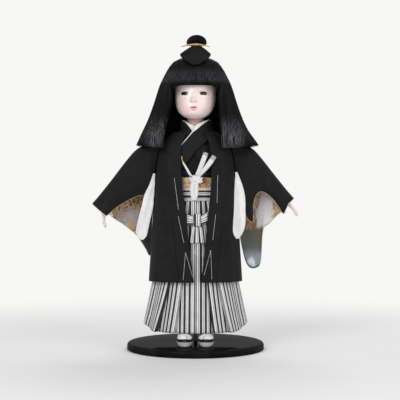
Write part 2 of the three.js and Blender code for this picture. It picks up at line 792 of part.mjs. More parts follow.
// Legs, split-toe socks and sandals
const soleTop = seatGap + soleThickness;
function makeLeg(name, side) {
  const footX = side * footSpread;
  const ankleHeight = soleTop + seatGap + legSoleInset;
  const calfHeight = (ankleHeight + torsoBottom) / 2;
  const legPoints = [
    new THREE.Vector3(footX, ankleSetBack, ankleHeight - cutOverrun),
    new THREE.Vector3(footX, (ankleSetBack * 2 + hipSetBack) / 3, calfHeight),
    new THREE.Vector3(footX, hipSetBack, torsoBottom + cutOverrun),
  ];
  const legSpace = block(
    new THREE.Vector3(footX - hipRadius * 2, -chestHalfDepth * 2, ankleHeight),
    new THREE.Vector3(footX + hipRadius * 2, chestHalfDepth, torsoBottom - seatGap),
  );
  const shares = [ankleRadius / hipRadius, ankleRadius / hipRadius, calfRadius / hipRadius, 1, 1];
  const peg = rod(legPegRadius, torsoBottom - cutOverrun, torsoBottom + legPegLength, 12);
  const limbInSpace = common(limb(legPoints, hipRadius, shares, 7, 12), legSpace);
  const leg = join(limbInSpace, peg.translate(footX, hipSetBack, 0));
  addPiece(doll, `${name}_leg`, leg, skin, 0.7);

  const soleOutline = (t, angle) => {
    const widen = soleBaseShare + (1 - soleBaseShare) * t ** 0.7;
    const middle = soleToe + soleLength / 2;
    const place = ringPoint(soleHalfWidth * widen, (soleLength / 2) * (0.9 + 0.1 * t), 2.5, angle, 0);
    const waist = 1 - 0.1 * easeBetween(0, 1, (place.y + soleLength / 2) / soleLength);
    return new THREE.Vector3(footX + place.x * waist, middle + place.y, seatGap + soleThickness * t);
  };
  addPiece(doll, `${name}_zori_sole`, loft(soleOutline, 3, 24), lavender, 0.5);

  const footBottom = soleTop + seatGap;
  const footToe = soleToe + (soleHalfWidth - footHalfWidth) * 1.5;
  const footPlace = (t, angle) => {
    const along = 0.5 - 0.5 * Math.cos(Math.PI * (0.04 + 0.92 * t));
    const girth = Math.sin(Math.PI * (0.04 + 0.92 * t)) ** 0.5;
    const tall = toeHeight + (footHeight - toeHeight) * easeBetween(0.34, 0.9, along);
    const lift = Math.sin(angle) > 0 ? tall * Math.sin(angle) * girth : 0;
    const halfWidth = footHalfWidth * girth * (1 - 0.16 * along);
    return new THREE.Vector3(
      footX + halfWidth * Math.cos(angle),
      footToe + footLength * along,
      footBottom + lift,
    );
  };
  const slotX = footX - side * footHalfWidth * 0.3;
  const slotTop = footBottom + toeHeight + cutOverrun;
  const slot = block(
    new THREE.Vector3(slotX - toeSlotWidth / 2, footToe - cutOverrun, footBottom - cutOverrun),
    new THREE.Vector3(slotX + toeSlotWidth / 2, footToe + toeSlotLength, slotTop),
  );
  const footTop = footBottom + footHeight + cutOverrun;
  const ankle = rod(ankleRadius + seatGap, ankleHeight - seatGap, footTop, 12);
  const thong = thongShape(footX, slotX, thongRadius + seatGap);
  const foot = cut(loft(footPlace, 8, 10), slot, ankle.translate(footX, ankleSetBack, 0), thong);
  addPiece(doll, `${name}_tabi`, foot, white, 0.9);
  addPiece(doll, `${name}_zori_thong`, thongShape(footX, slotX, thongRadius), black, 0.8);
}

function thongShape(footX, slotX, radius) {
  const toeY = soleToe + toeSlotLength * 0.6;
  const rearY = soleToe + soleLength * 0.6;
  const low = soleTop + seatGap + thongRadius;
  const points = [
    new THREE.Vector3(footX - soleHalfWidth * 0.86, rearY, low),
    new THREE.Vector3(footX - soleHalfWidth * 0.82, (toeY + rearY) / 2, low + toeHeight * 0.2),
    new THREE.Vector3(slotX, toeY, low + toeHeight * 0.3),
    new THREE.Vector3(footX + soleHalfWidth * 0.82, (toeY + rearY) / 2, low + toeHeight * 0.2),
    new THREE.Vector3(footX + soleHalfWidth * 0.86, rearY, low),
  ];
  const path = new THREE.CatmullRomCurve3(points);
  const section = new THREE.Shape().absarc(0, 0, radius, 0, Math.PI * 2);
  const settings = { steps: 10, extrudePath: path, curveSegments: 3 };
  return fromThree(new THREE.ExtrudeGeometry(section, settings));
}

// Robe, its white under collar and black collars, and the sash
function makeKimono() {
  const levels = [kimonoHem, (kimonoHem + torsoBottom) / 2, ...torsoLevels];
  const place = (u, v) => onBody(2 * Math.PI * u, evenlyStraight(levels, v), kimonoIn);
  const robe = slab(place, kimonoCloth, bodySides, levels.length - 1, true);
  addPiece(doll, 'kimono_body', cut(robe, ...armholeTools()), blackCloth);

  const obi = slab((u, v) => onBody(2 * Math.PI * u, obiBottom + (obiTop - obiBottom) * v, bandIn),
    obiCloth, bodySides, 1, true);
  addPiece(doll, 'obi', obi, brocade, 0.5);
}

function armholeTools() {
  const tools = [];
  for (const arm of Object.values(arms)) {
    const pivot = armPoint(arm, 0);
    const tool = rod(armholeRadius, 0, chestHalfWidth, 12).rotateY((arm.side * Math.PI) / 2);
    tools.push(tool.translate(pivot.x - arm.side * armholeRadius, 0, pivot.z));
  }
  return tools;
}

// A collar round the neck: its upper edge follows a table of places, and its width runs down
// the body. The doll's left end lies over its right end.
function collarStrip(shares, top, width, layer, columns, rows) {
  const angles = shares.map((row) => Math.PI * row[0]);
  const falls = shares.map((row) => row[1]);
  const nudge = 0.01;
  const edgeAt = (u) => onBody(evenlyAt(angles, u), top - collarFall * evenlyAt(falls, u), 0);
  const place = (u, v) => {
    const angle = evenlyAt(angles, u);
    const along = edgeAt(Math.min(u + nudge, 1)).sub(edgeAt(Math.max(u - nudge, 0))).normalize();
    const outward = new THREE.Vector3(Math.sin(angle), -Math.cos(angle), 0);
    const down = new THREE.Vector3().crossVectors(outward, along).normalize();
    const flat = edgeAt(u).addScaledVector(down, width * v);
    const lift = (collarCloth + collarEase) * (layer + 2 * easeBetween(0.6, 1.4, -angle / Math.PI));
    const seat = bodyAt(flat.z, kimonoOut + seatGap + collarSeatEase + lift);
    const power = bodySquareness / 2;
    const turn = Math.atan2(
      Math.sign(flat.x) * Math.abs(flat.x / seat.halfWidth) ** power,
      -Math.sign(flat.y) * Math.abs(flat.y / seat.halfDepth) ** power,
    );
    return ringPoint(seat.halfWidth, seat.halfDepth, bodySquareness, turn, flat.z);
  };
  return slab(place, collarCloth, columns, rows);
}

function makeCollars() {
  const under = collarStrip(underCollarShares, collarNape, underCollarWidth, 0, 34, 1);
  addPiece(doll, 'under_collar', under, white);
  const kimonoNape = collarNape - underCollarShow;
  const strip = collarStrip(kimonoCollarShares, kimonoNape, kimonoCollarWidth, 1, 40, 2);
  const limit = chestHalfWidth * 2;
  const belowSash = block(
    new THREE.Vector3(-limit, -limit, obiBottom - limit),
    new THREE.Vector3(limit, limit, obiTop + seatGap),
  );
  addPiece(doll, 'kimono_collar', cut(strip, belowSash), blackCloth);
}

// Pleated trousers
function makeHakama() {
  const place = (start) => (u, v) => {
    const gap = sideGapAngle(hakamaHemHalfDepth);
    const angle = start + gap + (Math.PI - 2 * gap) * u;
    const hem = hakamaHemFront + (hakamaHemSide - hakamaHemFront) * Math.abs(Math.sin(angle)) ** 8;
    const height = hem + (hakamaTop - hem) * v;
    const { halfWidth, halfDepth } = hakamaAt(height);
    const wave = Math.abs(Math.sin(hakamaPleats * (angle - start)));
    const pleat = hakamaPleatDepth * (1 - v) ** 0.7 * (1 - wave) * Math.min(1, 8 * u, 8 * (1 - u));
    return ringPoint(halfWidth - pleat, halfDepth - pleat, bodySquareness, angle, height);
  };
  addPiece(doll, 'hakama_front', slab(place(-Math.PI / 2), hakamaCloth, 36, 4), stripe);
  addPiece(doll, 'hakama_back', slab(place(Math.PI / 2), hakamaCloth, 36, 4), stripe);

  const bandBottom = obiBottom - seatGap - bandHeight;
  const band = slab((u, v) => onBody(2 * Math.PI * u, bandBottom + bandHeight * v, bandIn),
    bandCloth, bodySides, 1, true);
  addPiece(doll, 'hakama_waistband', band, stripe);
  makeHakamaBow();
}

function makeHakamaBow() {
  const seat = -(hakamaAt(bowHeight - bowHalfHeight).halfDepth + hakamaCloth + seatGap);
  const wing = (side) => loft((t, angle) => {
    const reach = bowKnotHalfWidth + seatGap + (bowHalfWidth - bowKnotHalfWidth - seatGap) * t;
    const tall = bowHalfHeight * (0.62 + 0.38 * t) * 0.5;
    const place = ringPoint(tall, bowThickness / 2, 3, angle, 0);
    const depth = seat - bowThickness / 2 + place.y;
    return new THREE.Vector3(bowCentreX + side * reach, depth, bowHeight + place.x);
  }, 3, 16);
  const knot = loft((t, angle) => {
    const place = ringPoint(bowKnotHalfWidth, bowThickness * 0.8, 3, angle, 0);
    const height = bowHeight + bowHalfHeight * (2 * t - 1);
    return new THREE.Vector3(bowCentreX + place.x, seat - bowThickness * 0.8 + place.y, height);
  }, 3, 16);
  addPiece(doll, 'hakama_bow_knot', knot, stripe);
  addPiece(doll, 'left_hakama_bow_wing', wing(1), stripe);
  addPiece(doll, 'right_hakama_bow_wing', wing(-1), stripe);
  const tailTop = bowHeight - bowHalfHeight - seatGap;
  const tail = slab((u, v) => {
    const height = bowTailBottom + (tailTop - bowTailBottom) * v;
    const halfWidth = bowKnotHalfWidth + (bowTailHalfWidth - bowKnotHalfWidth) * (1 - v) ** 0.6;
    const x = bowCentreX + halfWidth * (2 * u - 1);
    const { halfDepth } = hakamaAt(height);
    return new THREE.Vector3(x, -(halfDepth + hakamaCloth + seatGap), height);
  }, bowTailThickness, 4, 4);
  addPiece(doll, 'hakama_bow_tail', tail, stripe);
}

// Coat: back, two fronts and two collar bands
function makeHaori() {
  const back = slab((u, v) => {
    const gap = sideGapAngle(chestHalfDepth);
    const angle = Math.PI / 2 + gap + (Math.PI - 2 * gap) * u;
    return onHaori(angle, haoriHem + (haoriTop - haoriHem) * v, 0);
  }, haoriCloth, 14, haoriRows);
  addPiece(doll, 'haori_back', cut(back, ...armholeTools()), blackCloth);

  for (const [name, side, column] of [['left', 1, 1], ['right', -1, 2]]) {
    const edgeAt = (v) => haoriOpening * columnAt(haoriOpeningShares, column, v);
    const bandEdgeAt = (v) => edgeAt(v) + haoriBandWidth * (1 - 0.35 * easeBetween(0.87, 1, v));
    const strip = (from, to) => (u, v) => {
      const height = haoriHem + (haoriTop - haoriHem) * v;
      const { halfWidth } = haoriAt(height);
      const start = angleAtX(from(v), halfWidth, bodySquareness);
      const end = angleAtX(to(v, halfWidth), halfWidth, bodySquareness);
      return onHaori(side * (start + (end - start) * u), height, 0);
    };
    const mirrored = (surface) => (side > 0 ? surface : (u, v) => surface(1 - u, v));
    const frontStrip = strip((v) => bandEdgeAt(v) + seatGap, (v, halfWidth) => halfWidth);
    const front = slab(mirrored(frontStrip), haoriCloth, 6, haoriRows);
    addPiece(doll, `${name}_haori_front`, cut(front, ...armholeTools()), blackCloth);
    const band = slab(mirrored(strip(edgeAt, bandEdgeAt)), haoriBandCloth, 2, haoriRows);
    addPiece(doll, `${name}_haori_collar`, band, blackCloth);
  }
}

// Coat cord: the knot, the strands that rise from it, the loop below and the two hooks
function makeCord() {
  const knotRadii = new THREE.Vector3(1.05, 0.8, 1).multiplyScalar(cordKnotRadius);
  addPiece(doll, 'cord_knot', ball(knotRadii, new THREE.Vector3(...cordKnot), 12, 7), white);
  const run = (name, route, radius, shares, color) => {
    const points = route.map((point) => new THREE.Vector3(...point));
    addPiece(doll, name, limb(points, radius, shares, 7, 6), color);
  };
  run('right_cord_strand', rightStrandRoute, cordRadius, [1, 1], white);
  run('upper_cord_tassel', upperTasselRoute, tasselRadius, [0.6, 0.7, 0.9, 1], white);
  run('lower_cord_tassel', lowerTasselRoute, tasselRadius, [0.6, 0.7, 0.9, 1], white);
  run('hanging_cord_loop', cordLoopRoute, cordRadius, [1, 1], white);
  run('left_cord_hook', leftHookRoute, cordRadius, [0.8, 0.8], white);
  run('right_cord_hook', rightHookRoute, cordRadius, [0.8, 0.8], white);
}

// Arms with their wires, sleeves and linings
function makeArm(name, arm) {
  const group = new THREE.Group();
  doll.add(group);
  const places = [0, 0.12, 0.24, 0.32, 0.4, 0.48, 0.56, 0.7, 0.8, wristShare];
  const radii = places.map((place) => armRadius + (wristRadius - armRadius) * easeBetween(0.45, 1, place));
  const shoulder = ball(evenRadii(armRadius), armPoint(arm, 0), 12, 6);
  const padding = join(alongArm(arm, places, radii, 8), shoulder);
  const wirePlaces = places.slice(1);
  const borePlaces = [places[1] * 0.95, ...places.slice(2), 1];
  const bore = alongArm(arm, borePlaces, borePlaces.map(() => armWireRadius + seatGap), 6);
  addPiece(group, `${name}_arm`, cut(padding, bore), white, 0.9);
  const wire = alongArm(arm, wirePlaces, wirePlaces.map(() => armWireRadius), 6);
  addPiece(group, `${name}_arm_wire`, wire, steel, 0.4, 0.8);

  const facing = arm.side > 0 ? (u) => u : (u) => 1 - u;
  const from = (u) => sleeveFromShare + (1 - sleeveFromShare) * facing(u);
  const sleeveSide = (radius) => (u, v) => sleevePlace(arm, radius, from(u), v, 0);
  const sleeve = shell(
    sleeveSide(sleeveInRadius), sleeveSide(sleeveOutRadius), sleeveColumns, foldRows.all,
  );
  addPiece(group, `${name}_haori_sleeve`, sleeve, blackCloth);
  const liningRadius = armRadius + seatGap;
  const within = (u) => Math.min(Math.max(u, liningInsetShare), 1 - liningInsetShare);
  const liningSide = (radius) => (u, v) => sleevePlace(arm, radius, from(within(u)), v, liningInsetShare);
  const lining = shell(
    liningSide(liningRadius), liningSide(liningRadius + liningCloth), sleeveColumns, foldRows.all,
  );
  addPiece(group, `${name}_sleeve_lining`, lining, brocade, 0.5);

  const under = slab((u, v) => {
    const t = 1 - v;
    const heights = arm.under.map((row) => row[0]);
    const share = heights[0] + (heights[heights.length - 1] - heights[0]) * t;
    const inside = sleeveStart + arm.reach * columnAt(arm.under, 1, share);
    const outside = sleeveStart + arm.reach * columnAt(arm.under, 2, share);
    const x = inside + (outside - inside) * facing(u);
    const height = sleeveHeight - sleeveDrop * share;
    const { halfWidth, halfDepth } = haoriAt(height);
    const across = Math.min(x / (halfWidth + haoriCloth), 1);
    const coat = (halfDepth + haoriCloth) * (1 - across ** bodySquareness) ** (1 / bodySquareness);
    const out = (x - sleeveStart) / arm.reach;
    const bulge = armForward * out + sleeveHangBulge * easeBetween(0, 0.3, out);
    const clear = sleeveOutRadius + bulge + seatGap;
    const depth = (clear ** 6 + (coat + 2 * seatGap) ** 6) ** (1 / 6);
    return new THREE.Vector3(arm.side * x, -depth, height);
  }, underSleeveCloth, 4, 10);
  addPiece(group, `${name}_under_sleeve`, under, white);
}

// Hands: palm, four fingers and thumb, pointing along the local X axis
function makeHand(name, arm) {
  const palmLength = handLength * palmShare;
  const fingerLength = handLength - palmLength;
  const palm = loft((t, angle) => {
    const halfWidth = wristRadius + (palmHalfWidth - wristRadius) * easeBetween(0, 0.7, t);
    const halfThickness = wristRadius * 0.9 + (palmHalfThickness - wristRadius * 0.9) * t;
    const place = ringPoint(halfWidth, halfThickness, 2.4, angle, 0);
    return new THREE.Vector3(palmLength * t, place.x, place.y);
  }, 3, 10);
  const fingers = [-1.5, -0.5, 0.5, 1.5].map((place) => {
    const rootY = place * (palmHalfWidth - fingerRadius) * 0.62;
    const reach = fingerLength * (1 - 0.12 * Math.abs(place + 0.5));
    const tipY = rootY * 1.35;
    const points = [
      new THREE.Vector3(palmLength - fingerRadius, rootY, 0),
      new THREE.Vector3(palmLength + reach * 0.5, (rootY + tipY) / 2, 0.3 * fingerRadius),
      new THREE.Vector3(palmLength + reach, tipY, -0.2 * fingerRadius),
    ];
    return limb(points, fingerRadius, [1, 1, 0.9, 0.8, 0.35], 4, 5);
  });
  const thumb = limb([
    new THREE.Vector3(palmLength * 0.3, -palmHalfWidth * 0.5, -palmHalfThickness * 0.4),
    new THREE.Vector3(palmLength * 0.75, -palmHalfWidth * 0.95, -palmHalfThickness * 1.6),
    new THREE.Vector3(palmLength * 1.2, -palmHalfWidth * 1.05, -palmHalfThickness * 2.3),
  ], thumbRadius, [1, 1, 0.9, 0.8, 0.35], 4, 5);
  const hand = join(palm, ...fingers, thumb);
  const wrist = armPoint(arm, wristShare);
  const { along } = armLineAt(arm, wristShare);
  const turn = (arm.handAngle * Math.PI) / 180;
  const direction = new THREE.Vector3(arm.side * Math.cos(turn), 0, -Math.sin(turn));
  const forearm = new THREE.Vector3(arm.side * along.x, 0, along.z);
  const bend = forearm.angleTo(direction);
  const start = wrist.clone().addScaledVector(forearm, seatGap + wristRadius * Math.sin(bend));
  const depth = new THREE.Vector3(0, 1, 0);
  const upright = new THREE.Vector3().crossVectors(direction, depth).multiplyScalar(arm.side);
  const basis = new THREE.Matrix4().makeBasis(direction, depth, upright);
  hand.applyMatrix4(basis.setPosition(start));
  addPiece(doll, `${name}_hand`, fromThree(hand), skin, 0.45);
}

// Turned a little to one side on its neck, as the head and all that is set in it stand
function atRest(geometry) {
  const turn = new THREE.Matrix4().makeRotationZ((headTurn * Math.PI) / 180);
  const there = new THREE.Matrix4().makeTranslation(0, headSetBack, 0);
  const back = new THREE.Matrix4().makeTranslation(0, -headSetBack, 0);
  return geometry.applyMatrix4(there.multiply(turn).multiply(back));
}

// Head with neck, peg and set-in eyes
function headPlace(t, angle, out) {
  const rise = -Math.cos(Math.PI * t);
  const round = Math.sin(Math.PI * t);
  const squareness = rise > 0 ? crownSquareness : jawSquareness;
  const level = Math.sign(rise) * Math.abs(rise) ** (2 / squareness);
  const girth = round ** (2 / squareness);
  const isFront = Math.cos(angle) > 0;
  const depth = isFront ? headFrontDepth : headBackDepth;
  const x = (headHalfWidth + out) * girth * Math.sin(angle);
  const shift = -jawForward * Math.max(-level, 0) ** 1.6;
  const y = headSetBack - (depth + out) * girth * Math.cos(angle) + shift;
  const z = headMiddle + level * ((level > 0 ? crownRise : chinDrop) + out);
  const place = new THREE.Vector3(x, y, z);
  const fromNose = ((x / noseHalfWidth) ** 2 + ((z - noseHeight) / noseHalfHeight) ** 2);
  if (isFront) place.y -= noseRise * Math.exp(-fromNose);
  return place;
}

function skullAt(out) {
  return loft((t, angle) => headPlace(0.02 + 0.96 * t, angle, out), 15, 20);
}

function makeHead() {
  const skull = skullAt(0);
  const neck = rod(neckRadius, torsoTop + seatGap, headMiddle, 16).translate(0, headSetBack, 0);
  const peg = rod(neckPegRadius, torsoTop - neckPegLength, torsoTop + cutOverrun, 16);
  const eyeTools = [];
  for (const [name, side] of [['left', 1], ['right', -1]]) {
    const x = side * eyeSpread;
    const across = x / headHalfWidth;
    const surface = headSetBack - headFrontDepth * Math.sqrt(1 - across ** 2);
    const centre = new THREE.Vector3(x, surface + eyeRadius - eyeBulge, eyeHeight);
    const radii = evenRadii(eyeRadius).multiply(new THREE.Vector3(1, 1, eyeHeightShare));
    addPiece(doll, `${name}_eye`, atRest(ball(radii, centre, 12, 6)), black, 0.05);
    eyeTools.push(ball(radii.clone().addScalar(seatGap), centre, 12, 6));
  }
  const solid = join(skull, neck, peg.translate(0, headSetBack, 0));
  addPiece(doll, 'head', atRest(cut(solid, ...eyeTools)), skin, 0.45);
}

// Hair
function hairAt(height) {
  const share = (height - hairHem) / (hairTop - hairHem);
  return {
    halfWidth: hairHalfWidth * columnAt(hairShares, 1, share),
    front: hairFrontDepth * columnAt(hairShares, 2, share),
    back: hairBackDepth * columnAt(hairShares, 3, share),
  };
}

function hairHemAt(angle) {
  return hairHem + (hairHemSide - hairHem) * Math.abs(Math.sin(angle)) ** 3;
}

function onHair(angle, height, out) {
  const { halfWidth, front, back } = hairAt(height);
  const depth = Math.cos(angle) > 0 ? front : back;
  const place = ringPoint(halfWidth + out, depth + out, hairSquareness, angle, height);
  place.y += headSetBack;
  return place;
}

function makeHair() {
  const capHeight = (t) => hairPartHeight + (hairTop - hairPartHeight) * (1 - (1 - t) ** 2.2);
  const dome = loft((t, angle) => onHair(angle, capHeight(t), 0), 7, 24);
  const skull = atRest(skullAt(seatGap));
  const hairMass = cut(dome, skull);
  const limit = hairFrontDepth * 2;
  const fringeRear = headSetBack - hairFrontDepth * fringeDepthShare;
  const fringeSpace = (gap) => block(
    new THREE.Vector3(-fringeHalfWidth - gap, -limit, hairPartHeight - cutOverrun),
    new THREE.Vector3(fringeHalfWidth + gap, fringeRear + gap, fringeTop + gap),
  );
  addPiece(doll, 'hair_cap', cut(hairMass, fringeSpace(seatGap)), hairBlack, 0.4);
  addPiece(doll, 'hair_fringe', common(hairMass, fringeSpace(0)), hairBlack, 0.4);

  const fallTop = hairPartHeight - seatGap;
  const splitAngle = Math.PI - backHairSplit;
  const falls = [['left', 1, fallFrontBottomLeft], ['right', -1, fallFrontBottomRight]];
  for (const [name, side, low] of falls) {
    const place = (out) => (u, v) => {
      const guide = hairHem + (fallTop - hairHem) * v;
      const { halfWidth } = hairAt(guide);
      const frontX = fallFrontTop + (low - fallFrontTop) * easeBetween(0, 1, 1 - v * 1.15);
      const start = angleAtX(frontX, halfWidth - hairThickness, hairSquareness);
      const gap = seatGap / hairBackDepth;
      const angle = start + (splitAngle - gap - start) * u;
      const hem = hairHemAt(angle);
      return onHair(side * angle, hem + (fallTop - hem) * v, out);
    };
    const facing = (surface) => (side > 0 ? surface : (u, v) => surface(1 - u, v));
    const fall = shell(facing(place(-hairThickness)), facing(place(0)), 12, 6);
    addPiece(doll, `${name}_hair_fall`, fall, hairBlack, 0.4);
  }
  const backPlace = (out) => (u, v) => {
    const angle = splitAngle + 2 * backHairSplit * u;
    const hem = hairHemAt(angle);
    return onHair(angle, hem + (fallTop - hem) * v, out);
  };
  addPiece(doll, 'back_hair_fall', shell(backPlace(-hairThickness), backPlace(0), 8, 6), hairBlack, 0.4);
}

// Topknot: a short root on the crown, an arched loop, a tie with two drooping ends and a tail
// fanned forward over the crown
function makeTopknot() {
  const rootBottom = hairTop + seatGap;
  const rootTop = rootBottom + knotRootHeight;
  const root = loft((t, angle) => {
    const place = ringPoint(knotRootHalfWidth, knotRootHalfDepth, hairSquareness, angle, 0);
    return place.add(new THREE.Vector3(knotSideways * t, headSetBack, rootBottom + knotRootHeight * t));
  }, 3, 14);
  addPiece(doll, 'topknot_root', root, hairBlack, 0.3);

  const barZ = rootTop + seatGap + knotBarRadius;
  const halfLoop = knotLoopWidth / 2 - knotLoopRadius;
  const arcSteps = 8;
  const arch = [];
  for (let i = 0; i <= arcSteps; i += 1) {
    const angle = Math.PI * (i / arcSteps);
    const rise = knotLoopHeight - knotBarRadius - knotLoopRadius * knotArchShares[2];
    arch.push(new THREE.Vector3(
      knotSideways - halfLoop * Math.cos(angle), headSetBack, barZ + rise * Math.sin(angle)));
  }
  const bar = [-1, 0, 1].map((share) => new THREE.Vector3(
    knotSideways + halfLoop * share, headSetBack, barZ));
  const loop = join(
    limb(arch, knotLoopRadius, knotArchShares, 14, 9),
    limb(bar, knotBarRadius, [1, 1], 2, 9),
  );
  addPiece(doll, 'topknot_loop', loop, hairBlack, 0.25);

  const tailRoot = headSetBack - knotRootHalfDepth - seatGap;
  const tailTop = rootTop - knotTailThickness;
  const spread = (knotTailSpread * Math.PI) / 180;
  const tail = slab((u, v) => {
    const angle = spread * (2 * u - 1);
    const reach = knotTailReach * evenlyAt(knotTailShares, u) * (1 - v);
    const across = knotRootHalfWidth * (2 * u - 1) * v + reach * Math.sin(angle);
    const along = (reach * Math.cos(angle)) / knotTailReach;
    return new THREE.Vector3(
      knotSideways * v + across,
      tailRoot - knotTailForward * along ** 0.9,
      tailTop - knotTailDrop * along ** 1.2,
    );
  }, knotTailThickness, 10, 5);
  addPiece(doll, 'topknot_tail', tail, hairBlack, 0.3);

  const tieThick = knotTieRadius * knotTieShares[1];
  const tiePoints = [-1, -0.5, 0, 0.5, 1].map((share) => new THREE.Vector3(
    knotTieReach * share, tailRoot - tieThick, rootTop + seatGap + tieThick - knotTieDrop * share ** 2));
  const tie = limb(tiePoints, knotTieRadius, knotTieShares, 10, 6);
  addPiece(doll, 'topknot_tie', tie, gold, 0.3, 0.6);
}

makeStand();
makeTorso();
makeLeg('left', 1);
makeLeg('right', -1);
makeKimono();
makeCollars();
makeHakama();
makeHaori();
makeCord();
for (const [name, arm] of Object.entries(arms)) {
  makeArm(name, arm);
  makeHand(name, arm);
}
makeHead();
makeHair();
makeTopknot();

export default model;
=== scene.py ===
# %% [markdown]
# A boy's ichimatsu doll on its round lacquered board, dressed in a black coat,
# striped pleated trousers and a brocade sash. The imported CAD model is the frame: every piece
# made here goes where that frame says, and all but the long hair ride on one of its bodies.

# %% Load the imported model
import math
import random
import bpy
import bmesh
from mathutils import Matrix, Vector


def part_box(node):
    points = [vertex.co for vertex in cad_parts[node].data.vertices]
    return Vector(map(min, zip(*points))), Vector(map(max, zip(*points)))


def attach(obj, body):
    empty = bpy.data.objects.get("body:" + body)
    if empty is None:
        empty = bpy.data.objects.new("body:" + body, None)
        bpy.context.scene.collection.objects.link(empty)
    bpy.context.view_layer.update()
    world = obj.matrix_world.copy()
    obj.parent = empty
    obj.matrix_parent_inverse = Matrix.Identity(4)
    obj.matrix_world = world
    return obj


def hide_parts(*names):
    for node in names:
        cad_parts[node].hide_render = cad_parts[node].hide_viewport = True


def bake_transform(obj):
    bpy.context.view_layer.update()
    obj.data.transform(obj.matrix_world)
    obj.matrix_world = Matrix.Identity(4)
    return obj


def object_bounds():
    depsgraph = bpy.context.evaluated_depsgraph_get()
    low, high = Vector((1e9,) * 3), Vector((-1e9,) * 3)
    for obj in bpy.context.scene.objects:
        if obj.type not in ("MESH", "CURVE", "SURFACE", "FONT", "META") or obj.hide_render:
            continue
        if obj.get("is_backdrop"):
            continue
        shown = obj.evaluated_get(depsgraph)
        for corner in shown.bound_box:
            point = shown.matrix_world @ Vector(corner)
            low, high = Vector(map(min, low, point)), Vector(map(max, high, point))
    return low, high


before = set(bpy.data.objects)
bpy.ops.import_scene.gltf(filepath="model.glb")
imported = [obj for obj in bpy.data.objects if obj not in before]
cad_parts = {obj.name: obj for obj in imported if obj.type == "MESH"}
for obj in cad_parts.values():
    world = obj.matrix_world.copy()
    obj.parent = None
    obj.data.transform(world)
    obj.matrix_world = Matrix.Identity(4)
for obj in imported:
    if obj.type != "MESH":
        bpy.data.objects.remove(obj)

cad_box = [list(corner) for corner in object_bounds()]

# %% [markdown]
# The camera stands where the photographer stood: level, at the height of the doll's waist and
# a metre and a half away, with a long lens. A long lens keeps the doll's lines almost parallel.

# %% Camera
MM = 0.001
LENS = 94.14
SENSOR_WIDTH = 36.0
CAMERA_PLACE = Vector((6.9, -1610.0, 228.6)) * MM
camera_data = bpy.data.cameras.new("camera")
camera_data.lens = LENS
camera_data.sensor_width = SENSOR_WIDTH
camera = bpy.data.objects.new("camera", camera_data)
camera.location = CAMERA_PLACE
camera.rotation_euler = (math.pi / 2, 0.0, 0.0)
bpy.context.scene.collection.objects.link(camera)
bpy.context.scene.camera = camera
bpy.context.scene.view_settings.view_transform = "Standard"
print("camera lens:", round(camera_data.lens, 1), "mm")

# %% [markdown]
# Black cloth and black lacquer show their shape only through soft reflections, so the lamps
# are wide: one before the doll on each side, and a long one above and behind for the hair.

# %% Lamps
def lamp(name, place, aim, size, power):
    data = bpy.data.lights.new(name, "AREA")
    data.shape = "RECTANGLE"
    data.size, data.size_y = size
    data.energy = power
    made = bpy.data.objects.new(name, data)
    made.location = place
    made.rotation_euler = (Vector(aim) - Vector(place)).to_track_quat("-Z", "Y").to_euler()
    bpy.context.scene.collection.objects.link(made)
    return made


DOLL_MIDDLE = (0.0, 0.0, 0.25)
lamps = [
    lamp("front_lamp", (-0.9, -1.5, 1.15), DOLL_MIDDLE, (0.9, 0.7), 14.0),
    lamp("side_lamp", (1.2, -1.1, 0.7), DOLL_MIDDLE, (0.7, 0.9), 6.5),
    lamp("back_lamp", (0.2, 0.9, 1.3), DOLL_MIDDLE, (1.0, 0.5), 7.0),
]
print("lamps:", len(lamps))

# %% [markdown]
# A material is a small tree of nodes, and short helpers keep the trees readable. One adds a
# node with its settings and inputs, others do one step of arithmetic or one mix of colours,
# and the last ones wire the result into the shader.

# %% Node helpers
def add(tree, kind, settings=None, values=None):
    made = tree.nodes.new("ShaderNode" + kind)
    for name, value in (settings or {}).items():
        setattr(made, name, value)
    for name, value in (values or {}).items():
        if isinstance(value, bpy.types.NodeSocket):
            tree.links.new(value, made.inputs[name])
        else:
            made.inputs[name].default_value = value
    return made


def sums(tree, operation, first, second=0.0, third=0.0, clamp=False):
    settings = {"operation": operation, "use_clamp": clamp}
    return add(tree, "Math", settings, {0: first, 1: second, 2: third}).outputs[0]


def blended(tree, amount, first, second, kind="MIX"):
    mix = add(tree, "Mix", {"data_type": "RGBA", "blend_type": kind})
    for socket, value in ((mix.inputs[0], amount), (mix.inputs[6], first), (mix.inputs[7], second)):
        if isinstance(value, bpy.types.NodeSocket):
            tree.links.new(value, socket)
        else:
            socket.default_value = value
    return mix.outputs[2]


def between(tree, value, low, high):
    ramp = add(tree, "MapRange", {"interpolation_type": "SMOOTHSTEP"}, {
        "Value": value, "From Min": low, "From Max": high})
    return ramp.outputs["Result"]


def material(name, **constants):
    made = bpy.data.materials.new(name)
    made.use_nodes = True
    shader = made.node_tree.nodes["Principled BSDF"]
    for socket, value in constants.items():
        shader.inputs[socket.replace("_", " ")].default_value = value
    return made, made.node_tree, shader


def wired(shader, **sockets):
    for name, value in sockets.items():
        shader.id_data.links.new(value, shader.inputs[name.replace("_", " ")])


def bumped(shader, height, strength, distance):
    values = {"Height": height, "Strength": strength, "Distance": distance}
    wired(shader, Normal=add(shader.id_data, "Bump", values=values).outputs[0])


def object_place(tree):
    return add(tree, "TexCoord").outputs["Object"]


def cloth_place(tree):
    return add(tree, "UVMap", {"uv_map": "cloth"}).outputs[0]


def split(tree, vector):
    return add(tree, "SeparateXYZ", values={0: vector}).outputs


def grey(level):
    return (level, level, level, 1.0)


